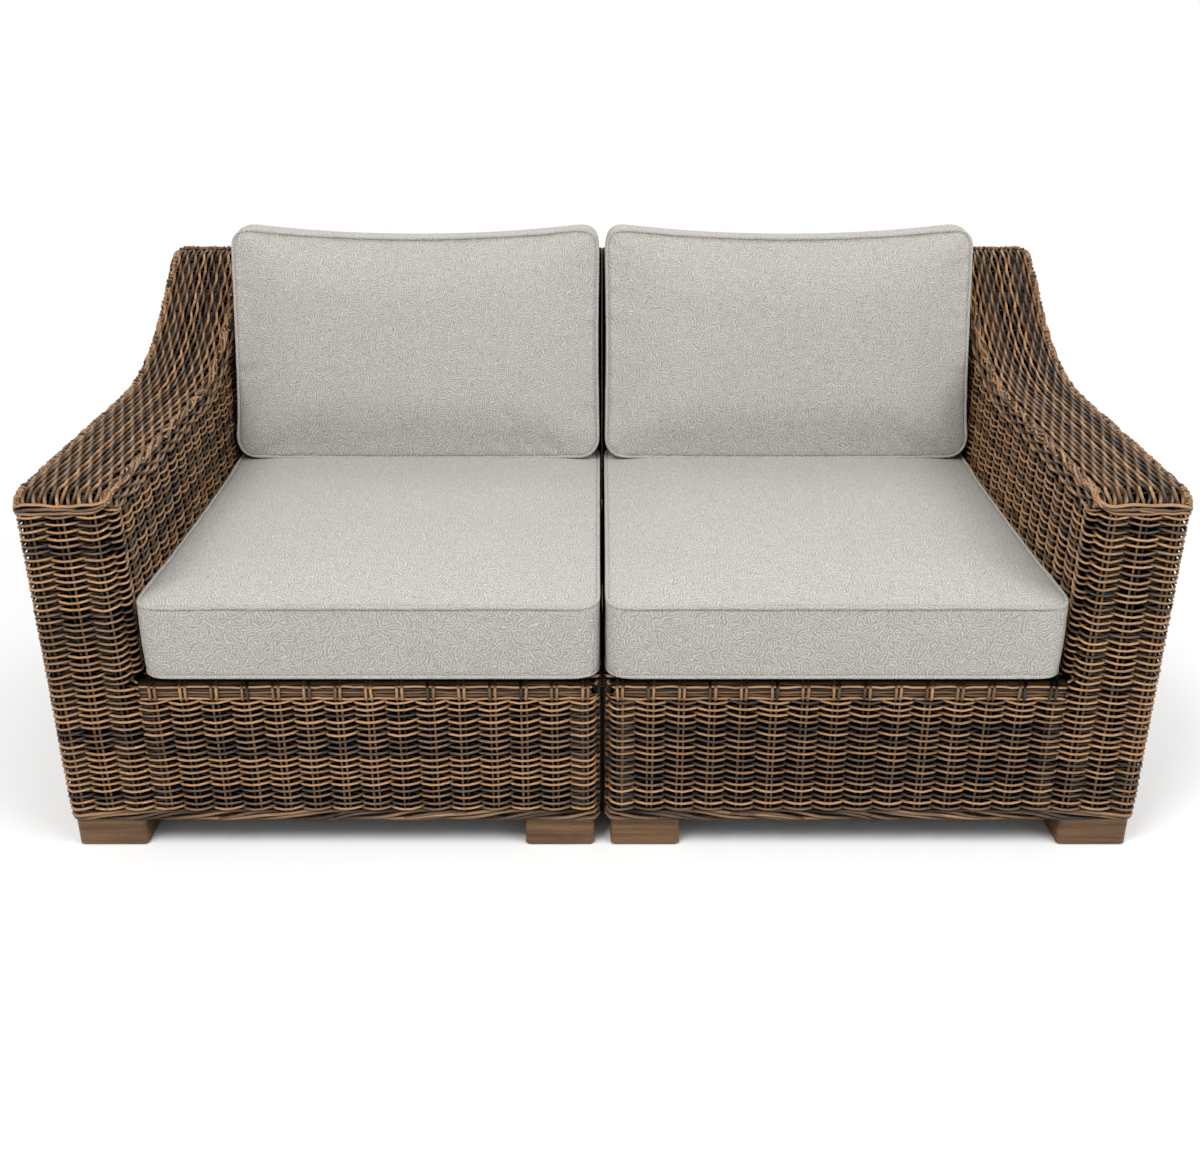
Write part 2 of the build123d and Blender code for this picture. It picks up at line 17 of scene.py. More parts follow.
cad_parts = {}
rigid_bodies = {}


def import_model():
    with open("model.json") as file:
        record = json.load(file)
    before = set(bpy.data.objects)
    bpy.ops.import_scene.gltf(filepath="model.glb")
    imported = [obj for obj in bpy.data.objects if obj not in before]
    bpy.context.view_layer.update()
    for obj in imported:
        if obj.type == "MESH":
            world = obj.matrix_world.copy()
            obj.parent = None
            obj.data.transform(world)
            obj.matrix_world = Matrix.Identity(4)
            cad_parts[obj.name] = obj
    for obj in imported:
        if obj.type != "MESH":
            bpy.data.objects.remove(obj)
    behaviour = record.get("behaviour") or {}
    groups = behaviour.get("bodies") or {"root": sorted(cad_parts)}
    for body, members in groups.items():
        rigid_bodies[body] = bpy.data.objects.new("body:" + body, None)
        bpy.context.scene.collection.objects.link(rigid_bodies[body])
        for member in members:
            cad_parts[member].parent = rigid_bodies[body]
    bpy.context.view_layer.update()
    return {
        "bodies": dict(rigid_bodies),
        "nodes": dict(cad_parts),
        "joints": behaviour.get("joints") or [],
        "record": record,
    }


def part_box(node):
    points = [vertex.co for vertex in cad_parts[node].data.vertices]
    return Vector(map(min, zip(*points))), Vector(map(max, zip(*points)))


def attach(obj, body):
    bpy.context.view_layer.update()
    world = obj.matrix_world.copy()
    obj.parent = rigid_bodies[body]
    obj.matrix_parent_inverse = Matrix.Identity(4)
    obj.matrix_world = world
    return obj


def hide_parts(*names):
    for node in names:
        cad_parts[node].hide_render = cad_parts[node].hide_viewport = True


log = logging.getLogger("loveseat")
TAU = 2 * math.pi
CREST_BREADTH = 0.45
# Gives a strand's points from its running lengths, sideways shifts and heights.
Placing = Callable[[np.ndarray, np.ndarray, np.ndarray], np.ndarray]


class Side(Enum):
    """The two seat sections, as seen from the front."""

    LEFT = -1
    RIGHT = 1

    @property
    def word(self) -> str:
        """The side's name, as the nodes have it."""
        return self.name.lower()

    def node(self, name: str) -> str:
        """The name of one of this section's nodes."""
        return f"{name}_{self.word}"


class Shade(Enum):
    """The colours of cane in the weave, by their place on the finish's colour ramp."""

    CHARCOAL = 0.12
    ASH = 0.40
    UMBER = 0.62
    TAN = 0.86


@dataclass(frozen=True)
class Sizes:
    """Measures that the sub-assemblies share, in metres. Depth runs back from the front."""

    width: float = 0.860
    depth: float = 0.985
    border_proud: float = 0.002
    arm_height: float = 0.610
    back_height: float = 0.788
    deck_height: float = 0.304
    arm_width: float = 0.145
    joint_x: float = 0.004
    skirt: float = 0.050
    border_top: float = 0.070
    wrap_low: float = 0.269
    outer_round: float = 0.020
    inner_round: float = 0.032
    joint_round: float = 0.022
    rim: float = 0.034
    front_round: float = 0.038
    sweep_radius: float = 0.500
    sweep_angle: float = 34.0
    crest_radius: float = 0.080
    crest_flat: float = 0.010
    back_round: float = 0.036
    back_rake: float = 4.4
    rest_lean: float = 14.0
    rest_round: float = 0.040

    @property
    def arm_x(self) -> float:
        """Inner face of the arm."""
        return self.width - self.arm_width

    @property
    def crest_y(self) -> float:
        """Depth at which the crest turns level."""
        return self.depth - self.back_round - self.crest_flat

    @property
    def shift(self) -> float:
        """From depth behind the front face to the row frame."""
        return (self.border_proud - self.depth) / 2


SIZES = Sizes()


def turned(centre: tuple[float, float], radius: float, degrees: float) -> np.ndarray:
    """The point of a circle at an angle.

    Args:
        centre: The circle's centre.
        radius: Its radius.
        degrees: The angle from the first axis.

    Returns:
        The point.
    """
    angle = math.radians(degrees)
    return np.array(centre) + radius * np.array([math.cos(angle), math.sin(angle)])


class Outline:
    """A flat line of runs and arcs, with its outward normals, read by running length."""

    grain = 0.001

    def __init__(self, start: Sequence[float]) -> None:
        """Starts the line.

        Args:
            start: The first point.
        """
        self.points = [np.array(start, float)]
        self.normals: list[np.ndarray] = []
        self.marks = [0.0]

    def run(self, end: Sequence[float]) -> "Outline":
        """Adds a straight run, and returns the line."""
        start, end = self.points[-1], np.array(end, float)
        count = max(2, round(np.linalg.norm(end - start) / self.grain))
        way = (end - start) / np.linalg.norm(end - start)
        normal = np.array([-way[1], way[0]])
        shares = np.linspace(0, 1, count + 1)[1:]
        self._extend([start + (end - start) * share for share in shares],
                     [normal] * count, normal)
        return self

    def arc(self, centre: tuple[float, float], radius: float, start: float,
            end: float) -> "Outline":
        """Adds an arc.

        Args:
            centre: Its centre.
            radius: Its radius.
            start: Its first angle in degrees.
            end: Its last angle; a falling angle bulges outwards, a rising one hollows.

        Returns:
            The line.
        """
        count = max(4, round(abs(math.radians(end - start)) * radius / self.grain))
        angles = np.linspace(start, end, count + 1)
        out = 1.0 if end < start else -1.0
        points = [turned(centre, radius, angle) for angle in angles[1:]]
        normals = [out * turned((0, 0), 1.0, angle) for angle in angles]
        self._extend(points, normals[1:], normals[0])
        return self

    def _extend(self, points: list[np.ndarray], normals: list[np.ndarray],
                first: np.ndarray) -> None:
        """Adds sampled points and measures the line again."""
        if not self.normals:
            self.normals.append(first)
        self.points += points
        self.normals += normals
        steps = np.linalg.norm(np.diff(np.array(self.points), axis=0), axis=1)
        self.lengths = np.concatenate([[0.0], np.cumsum(steps)])
        self.marks.append(float(self.lengths[-1]))

    @property
    def total(self) -> float:
        """The whole length."""
        return float(self.lengths[-1])

    def at(self, length: np.ndarray | float) -> tuple[np.ndarray, np.ndarray]:
        """Points and unit normals at running lengths.

        Args:
            length: Running lengths from the start.

        Returns:
            Points and normals, one row for each length.
        """
        length = np.atleast_1d(length)
        places, sides = np.array(self.points), np.array(self.normals)
        point = np.stack([np.interp(length, self.lengths, places[:, k]) for k in (0, 1)], 1)
        side = np.stack([np.interp(length, self.lengths, sides[:, k]) for k in (0, 1)], 1)
        return point, side / np.linalg.norm(side, axis=1, keepdims=True)

    def length_at(self, axis: int, value: float, low: int = 0, high: int = -1) -> float:
        """Running length at which one coordinate takes a value, between two marks."""
        ends = self.marks[low], self.marks[high]
        inside = (self.lengths >= ends[0] - 1e-9) & (self.lengths <= ends[1] + 1e-9)
        places = np.array(self.points)[inside, axis]
        lengths = self.lengths[inside]
        order = np.argsort(places)
        return float(np.interp(value, places[order], lengths[order]))


def arm_outline(sizes: Sizes) -> Outline:
    """The side view of the arm: front, level top, sweep, crest and raked rear.

    Args:
        sizes: The shared measures.

    Returns:
        The outline in depth and height, from the skirt round to the skirt.
    """
    slope = math.radians(sizes.sweep_angle)
    bends = (sizes.sweep_radius + sizes.crest_radius) * (1 - math.cos(slope))
    slope_run = (sizes.back_height - sizes.arm_height - bends) / math.tan(slope)
    run = (sizes.sweep_radius + sizes.crest_radius) * math.sin(slope) + slope_run
    level_end = sizes.crest_y - run
    crest_centre = (sizes.crest_y, sizes.back_height - sizes.crest_radius)
    line = Outline((0.0, sizes.skirt))
    line.run((0.0, sizes.arm_height - sizes.front_round))
    line.arc((sizes.front_round, sizes.arm_height - sizes.front_round), sizes.front_round,
             180, 90)
    line.run((level_end, sizes.arm_height))
    line.arc((level_end, sizes.arm_height + sizes.sweep_radius), sizes.sweep_radius,
             -90, sizes.sweep_angle - 90)
    line.run(turned(crest_centre, sizes.crest_radius, 90 + sizes.sweep_angle))
    line.arc(crest_centre, sizes.crest_radius, 90 + sizes.sweep_angle, 90)
    return close_rear(line, sizes)


def seat_outline(sizes: Sizes) -> Outline:
    """The side view of the back between the arms, from the deck up the rest and down."""
    centre = (sizes.crest_y, sizes.back_height - sizes.rest_round)
    touch = turned(centre, sizes.rest_round, 180 - sizes.rest_lean)
    drop = touch[1] - sizes.deck_height
    line = Outline((touch[0] - drop * math.tan(math.radians(sizes.rest_lean)),
                    sizes.deck_height))
    line.run(touch)
    line.arc(centre, sizes.rest_round, 180 - sizes.rest_lean, 90)
    return close_rear(line, sizes)


def close_rear(line: Outline, sizes: Sizes) -> Outline:
    """Adds the crest's flat, its rear rounding and the raked rear to an outline."""
    centre = (sizes.depth - sizes.back_round, sizes.back_height - sizes.back_round)
    touch = turned(centre, sizes.back_round, -sizes.back_rake)
    drop = touch[1] - sizes.skirt
    line.run((centre[0], sizes.back_height))
    line.arc(centre, sizes.back_round, 90, -sizes.back_rake)
    line.run((touch[0] - drop * math.tan(math.radians(sizes.back_rake)), sizes.skirt))
    return line


@dataclass(frozen=True)
class Shell:
    """A rounded shell: a section swept along an outline of the side view.

    Attributes:
        view: The side view, in depth and height.
        section: The section, in width and height over the view's line.
    """

    view: Outline
    section: Outline

    def place(self, along: np.ndarray | float, across: np.ndarray | float,
              lift: np.ndarray | float = 0.0) -> np.ndarray:
        """Points of the shell.

        Args:
            along: Running lengths along the side view.
            across: Running lengths across the section.
            lift: Heights over the shell.

        Returns:
            The points, one row each.
        """
        along, across, lift = np.broadcast_arrays(
            *(np.atleast_1d(np.asarray(v, float)) for v in (along, across, lift)))
        spot, side = self.section.at(across)
        spot = spot + side * lift[:, None]
        base, out = self.view.at(along)
        profile = base + out * spot[:, 1:2]
        return np.column_stack([spot[:, 0], profile])

    def row(self, along: float) -> Placing:
        """How a strand that runs across the shell lies on it."""
        return lambda run, shift, lift: self.place(along + shift, run, lift)

    def column(self, across: float) -> Placing:
        """How a strand that runs along the shell lies on it."""
        return lambda run, shift, lift: self.place(run, across + shift, lift)


@dataclass(frozen=True)
class Field:
    """A flat upright side.

    Attributes:
        face: Its place in the section's width.
        way: 1 if it faces away from the joint, or -1.
    """

    face: float
    way: int

    def row(self, height: float) -> Placing:
        """How a strand that runs back at a height lies on the side."""
        return lambda run, shift, lift: np.column_stack(
            [self.face + self.way * lift, run, height + shift])

    def column(self, depths: np.ndarray | float) -> Placing:
        """How a strand that runs up at some depths lies on the side."""
        return lambda run, shift, lift: np.column_stack(
            [self.face + self.way * lift, depths + shift, run])


def tubes(name: str, paths: Iterable[tuple[np.ndarray, np.ndarray | float]], depth: float,
          resolution: int, cyclic: bool = False) -> bpy.types.Mesh:
    """Round strands along lines of points, as one mesh.

    Args:
        name: The curve's name.
        paths: Points and radii of each strand.
        depth: What the radii are multiplied by.
        resolution: Steps of roundness of a quarter.
        cyclic: Whether the strands are closed rings.

    Returns:
        The mesh.
    """
    curve = bpy.data.curves.new(name, "CURVE")
    curve.dimensions = "3D"
    curve.bevel_depth = depth
    curve.bevel_resolution = resolution
    for points, radii in paths:
        spline = curve.splines.new("POLY")
        count = len(points)
        spline.points.add(count - 1)
        spline.points.foreach_set("co", np.column_stack(
            [points, np.ones(count)]).astype(np.float32).ravel())
        spline.points.foreach_set("radius", np.broadcast_to(radii, count).astype(np.float32))
        spline.use_cyclic_u = cyclic
    holder = bpy.data.objects.new(name + "_line", curve)
    bpy.context.scene.collection.objects.link(holder)
    mesh = bpy.data.meshes.new_from_object(
        holder.evaluated_get(bpy.context.evaluated_depsgraph_get()))
    bpy.data.objects.remove(holder)
    bpy.data.curves.remove(curve)
    return mesh


@dataclass
class Strand:
    """One length of cane.

    Attributes:
        points: Its centre line.
        radius: Its radius, or one for each point.
        tone: Its place on the colour ramp.
        crest: How far each point stands out, from 0 to 1, for painted shade and highlight and for
            rubbing.
    """

    points: np.ndarray
    radius: float | np.ndarray
    tone: float
    crest: np.ndarray | float = 0.5


class StrandWork:
    """A bundle of strands that becomes one woven piece.

    Attributes:
        ring: Points round a strand.
        dark_shares: How the darker strands divide between charcoal, ash and umber.
        scatter: How far a strand's colour strays from its shade.
        thickness: Range of a strand's own thickness.
    """

    ring = 6
    dark_shares = (0.38, 0.36, 0.26)
    scatter = 0.05
    thickness = (0.93, 1.06)

    def __init__(self, name: str, side: Side) -> None:
        """Starts the bundle.

        Args:
            name: The piece's name without its side.
            side: The section that it belongs to.
        """
        self.name = side.node(name)
        self.side = side
        self.chance = np.random.default_rng(zlib.crc32(self.name.encode()))
        self.strands: list[Strand] = []
        self.course = 0.5

    def tone(self, tan: float = 0.28) -> float:
        """A strand's colour, drawn at random.

        Args:
            tan: Share of the light strands.

        Returns:
            The place on the colour ramp.
        """
        odds = [share * (1.0 - tan) for share in self.dark_shares] + [tan]
        shade = self.chance.choice([s.value for s in Shade], p=odds)
        return float(np.clip(shade + self.chance.normal(0, self.scatter), 0, 1))

    def add(self, points: np.ndarray, radius: float | np.ndarray,
            crest: np.ndarray | float = 0.5, tan: float = 0.28,
            tone: float | None = None) -> None:
        """Adds a strand, with a small difference of its own in thickness."""
        width = radius * float(self.chance.uniform(*self.thickness))
        self.strands.append(Strand(points, width, self.tone(tan) if tone is None else tone,
                                   crest))

    def wander(self, count: int, reach: float, step: float = 0.35) -> np.ndarray:
        """A smooth random line of small shifts, the sum of three slow waves.

        Args:
            count: Number of points.
            reach: Largest shift, about.
            step: Radians of the slower wave from point to point.

        Returns:
            The shifts.
        """
        phase = self.chance.uniform(0, TAU, 3)
        rate = step * self.chance.uniform(0.6, 1.4, 3)
        run = np.arange(count)
        waves = [np.sin(run * rate[k] * (1 + k) + phase[k]) / (1 + k) for k in range(3)]
        return reach * sum(waves) / 1.4

    def build(self, body: str, finish: bpy.types.Material,
              replaced: Sequence[str] = ()) -> bpy.types.Object:
        """Turns the bundle into a mesh and hands it over.

        Args:
            body: The body that it rides on.
            finish: Its material.
            replaced: The nodes that it stands for.

        Returns:
            The piece.
        """
        shift, mirror = np.array([0, SIZES.shift, 0]), np.array([self.side.value, 1, 1])
        mesh = tubes(self.name, [((strand.points + shift) * mirror, strand.radius)
                                 for strand in self.strands], 1.0, (self.ring - 4) // 2)
        self._mark(mesh)
        self._close(mesh)
        mesh.shade_smooth()
        mesh.materials.clear()
        mesh.materials.append(finish)
        piece = bpy.data.objects.new(self.name + "_weave", mesh)
        bpy.context.scene.collection.objects.link(piece)
        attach(piece, body)
        if replaced:
            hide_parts(*replaced)
        log.info("%s: %d strands, %d faces", piece.name, len(self.strands),
                 len(mesh.polygons))
        return piece

    def _close(self, mesh: bpy.types.Mesh) -> None:
        """Closes the cut ends of the strands."""
        ends = bmesh.new()
        ends.from_mesh(mesh)
        bmesh.ops.holes_fill(ends, edges=[e for e in ends.edges if e.is_boundary], sides=0)
        bmesh.ops.recalc_face_normals(ends, faces=ends.faces[:])
        ends.to_mesh(mesh)
        ends.free()

    def _mark(self, mesh: bpy.types.Mesh) -> None:
        """Writes each strand's colour, crest (for painted shade, highlight and rubbing) and
        running length to the mesh.
        """
        tone, crest, along = [], [], []
        for strand in self.strands:
            count = len(strand.points)
            steps = np.linalg.norm(np.diff(strand.points, axis=0), axis=1)
            start = self.chance.uniform(0, 10)
            tone.append(np.full(count, strand.tone))
            crest.append(np.broadcast_to(strand.crest, count))
            along.append(start + np.concatenate([[0.0], np.cumsum(steps)]))
        for name, values in (("tone", tone), ("crest", crest), ("along", along)):
            values = np.repeat(np.concatenate(values), self.ring).astype(np.float32)
            if len(values) != len(mesh.vertices):
                raise ValueError(f"{self.name}: {len(values)} marks, "
                                 f"{len(mesh.vertices)} vertices")
            mesh.attributes.new(name, "FLOAT", "POINT").data.foreach_set("value", values)


def wave(phase: np.ndarray) -> np.ndarray:
    """The rise and fall of a weaver over its stakes: quick crossings and broad crests."""
    swing = np.cos(phase)
    return np.sign(swing) * np.abs(swing) ** CREST_BREADTH


def sling(phase: np.ndarray) -> np.ndarray:
    """How far a weaver hangs between two crossings, from 0 to 1, where it stands out."""
    turn = np.arccos(np.clip(np.cos(phase), -1, 1)) / (math.pi / 2)
    return np.clip(1 - turn ** 2, 0, 1)


@dataclass(frozen=True)
class Weave:
    """Courses of two weavers that pass in turn in front of and behind pairs of stakes.

    Attributes:
        pitch: From weaver to weaver; a course is two of them.
        radius: Of a weaver.
        column: From one pair of stakes to the next.
        swing: How far a weaver moves out and in.
        depth: Of the weave's middle under the shell.
        sag: How far a weaver hangs between its crossings; the side is the place's own.
        twin: How near the two weavers of a course lie: 0 is evenly spaced, 1 is one line.
        tan: Share of the light weavers.
        floor: Its crest where it passes behind, from 0 to 1, which lightens the painted shade
            there.
        stake: Radius of a stake.
        spread: Half the distance between the stakes of a pair.
        stake_crest: How far the stakes stand out, from 0 to 1, for painted shade and highlight and
            rubbing.
        stake_tan: Share of the light stakes.
        shares: Places of the rings between two crossings.
        fine_step: Distance between rings in bends.
        loose: How unevenly the weavers lie.
        lining_depth: Depth of the black strands of painted shade behind the weave.
        lining_radius: Radius of those strands.
        lining_tone: Their place on the colour ramp.
        swings: Range of a weaver's own swing.
        sags: Range of its own sag.
        shake: How unevenly it moves out and in, and how unevenly a stake stands.
        stray: How unevenly the courses follow each other.
        change: Chance that the second weaver of a course has a colour of its own.
    """

    pitch: float = 0.0057
    radius: float = 0.0021
    column: float = 0.0477
    swing: float = 0.0044
    depth: float = 0.0042
    sag: float = 0.0034
    twin: float = 1.0
    tan: float = 0.41
    floor: float = 0.0
    stake: float = 0.0020
    spread: float = 0.0042
    stake_crest: float = 0.47
    stake_tan: float = 0.36
    shares: tuple[float, ...] = (0.0, 0.08, 0.36, 0.64, 0.92)
    fine_step: float = 0.0062
    loose: float = 0.0007
    lining_depth: float = 0.0102
    lining_radius: float = 0.0031
    lining_tone: float = 0.1
    swings: tuple[float, float] = (0.86, 1.1)
    sags: tuple[float, float] = (0.75, 1.2)
    shake: float = 0.0004
    stray: float = 0.0005
    change: float = 0.45

    def stations(self, start: float, end: float, fine: Iterable[tuple[float, float]] = (),
                 step: float = 0.0115, fine_step: float = 0.0055) -> np.ndarray:
        """Running lengths for the rings of a strand, closer together where it bends.

        Args:
            start: First length.
            end: Last length.
            fine: Stretches that need closer rings.
            step: Distance between rings.
            fine_step: Distance between rings in the stretches.

        Returns:
            The lengths, in order.
        """
        low, high = min(start, end), max(start, end)
        cuts = {low, high}
        for a, b in fine:
            cuts |= {c for c in (a, b) if low < c < high}
        cuts = sorted(cuts)
        places = [low]
        for a, b in zip(cuts, cuts[1:]):
            middle = (a + b) / 2
            near = any(c <= middle <= d for c, d in fine)
            count = max(1, math.ceil((b - a) / (fine_step if near else step)))
            places += list(np.linspace(a, b, count + 1)[1:])
        return np.array(places)

    def knots(self, start: float, end: float, anchor: float,
              fine: Iterable[tuple[float, float]] = (),
              column: float | None = None) -> np.ndarray:
        """Running lengths for the rings of a weaver: on each crossing, and more in bends.

        Args:
            start: First length.
            end: Last length.
            anchor: Length at which a pair of stakes stands.
            fine: Stretches that need closer rings.
            column: From one pair of stakes to the next, if not the weave's own.

        Returns:
            The lengths, in order.
        """
        column = column or self.column
        low, high = min(start, end), max(start, end)
        count = math.ceil(max(abs(low - anchor), abs(high - anchor)) / column) + 1
        cells = np.arange(-count, count + 1)[:, None] + np.array(self.shares) + 0.5
        places = [low, high, *(anchor + cells.ravel() * column)]
        for a, b in fine:
            places += list(np.linspace(a, b, math.ceil((b - a) / self.fine_step) + 1))
        places = np.unique(np.clip(places, low, high))
        keep = np.concatenate([[True], np.diff(places) > self.radius * 0.9])
        keep[-1] = True
        return places[keep]

    def weaver(self, work: StrandWork, place: Placing, run: np.ndarray,
               phase: np.ndarray, number: int, bend: np.ndarray | float = 0.0) -> None:
        """Adds one weaver.

        Args:
            work: The bundle that it joins.
            place: How it lies.
            run: Running lengths of its rings.
            phase: Its phase at each ring, where a whole turn is two columns.
            number: Its number; an even one opens a course and the next one closes it.
            bend: Extra height at each ring.
        """
        count = len(run)
        swing = self.swing * work.chance.uniform(*self.swings)
        rise = wave(phase)
        lift = rise * swing - self.depth + work.wander(count, self.shake) + bend
        sag = self.sag * work.chance.uniform(*self.sags)
        level, behind, slant = 0.4, 0.9, 0.32
        hang = level - sling(phase) + behind * sling(phase + math.pi) + slant * np.sin(phase)
        shift = sag * hang + work.wander(count, self.loose, 0.5)
        half = math.copysign(self.twin * self.pitch / 2, self.sag)
        stray = self.twin * work.chance.normal(0, self.stray)
        shift += (half if number % 2 == 0 else -half) + stray
        if number % 2 == 0 or work.chance.random() > 1 - self.change:
            work.course = work.tone(self.tan)
        work.add(place(run, shift, lift), self.radius, tone=work.course,
                 crest=self.floor + (1 - self.floor) * (rise + 1) / 2)

    def stakes(self, work: StrandWork, place: Placing, run: np.ndarray) -> None:
        """Adds one pair of stakes.

        Args:
            work: The bundle that they join.
            place: How they lie.
            run: Running lengths of their rings.
        """
        for hand in (-1, 1):
            shift = hand * self.spread + work.wander(len(run), self.shake)
            work.add(place(run, shift, np.full(len(run), -self.depth)), self.stake,
                     crest=self.stake_crest, tan=self.stake_tan)

    def lining(self, work: StrandWork, place: Placing, start: float, end: float,
               bends: Iterable[tuple[float, float]] = ()) -> None:
        """Adds one black strand of painted shade that closes the view through the weave.

        Args:
            work: The bundle that it joins.
            place: How it lies.
            start: First running length.
            end: Last running length.
            bends: Stretches that need closer rings.
        """
        run = self.stations(start, end, bends, step=0.2, fine_step=0.009)
        work.add(place(run, np.zeros(len(run)), np.full(len(run), -self.lining_depth)),
                 self.lining_radius, crest=0.0, tone=self.lining_tone)


def rows(low: float, high: float, pitch: float) -> list[tuple[int, float]]:
    """Numbered places of weavers between two limits, on a grid that all panels share."""
    first = math.ceil(low / pitch - 0.5)
    last = math.floor(high / pitch - 0.5)
    return [(k, (k + 0.5) * pitch) for k in range(first, last + 1)]


@dataclass(frozen=True)
class Laid:
    """A long strand along an edge or a rail, beside the weave.

    Attributes:
        gap: Its distance from the edge's line.
        lift: Its height over the shell.
        radius: Its radius.
        tone: Its place on the colour ramp.
        crest: How far it stands out, for painted shade and highlight and for rubbing.
        sway: How unevenly it lies.
        tail: How far it runs on round a corner.
    """

    gap: float
    lift: float
    radius: float
    tone: float
    crest: float
    sway: float
    tail: float = 0.0

    def lay(self, work: StrandWork, shell: Shell, run: np.ndarray, edge: float = 0.0,
            step: float = 0.35, lift_sway: float = 0.0005) -> None:
        """Adds the strand across a shell.

        Args:
            work: The bundle that it joins.
            shell: The shell.
            run: Places of its rings across.
            edge: Place of the edge along.
            step: How quickly it sways from ring to ring.
            lift_sway: How unevenly it lies over the shell.
        """
        points = shell.place(edge + self.gap + work.wander(len(run), self.sway, step), run,
                             self.lift + work.wander(len(run), lift_sway))
        work.add(points, self.radius, crest=self.crest, tone=self.tone)


@dataclass(frozen=True)
class Loops:
    """A row of loops over an edge.

    Attributes:
        leans: Range of a loop's lean along the edge.
        reaches: Half its length, or the range of it.
        heights: Range of its height over its own foot.
        foot: How deep its ends lie.
        radius: Of its strand.
        wear: How far its ends stand out, and how much further its top, for painted shade and
            highlight and rubbing.
        tan: Share of the light loops.
    """

    leans: tuple[float, float]
    reaches: tuple[float, ...]
    heights: tuple[float, float]
    foot: float
    radius: float
    wear: tuple[float, float]
    tan: float

    def lay(self, work: StrandWork, edge: Placing, places: np.ndarray) -> None:
        """Adds the loops.

        Args:
            work: The bundle that they join.
            edge: How a strand along the edge lies.
            places: Places of the loops along the edge.
        """
        part = np.linspace(-1, 1, 7)
        arch = 1 - part ** 2
        ends, rise = self.wear
        for place in places:
            lean = work.chance.uniform(*self.leans)
            reach = self.reaches[0]
            if len(self.reaches) > 1:
                reach = work.chance.uniform(*self.reaches)
            lift = work.chance.uniform(*self.heights) * arch - self.foot
            work.add(edge(place + lean * part, reach * part, lift), self.radius,
                     crest=ends + rise * arch, tan=self.tan)


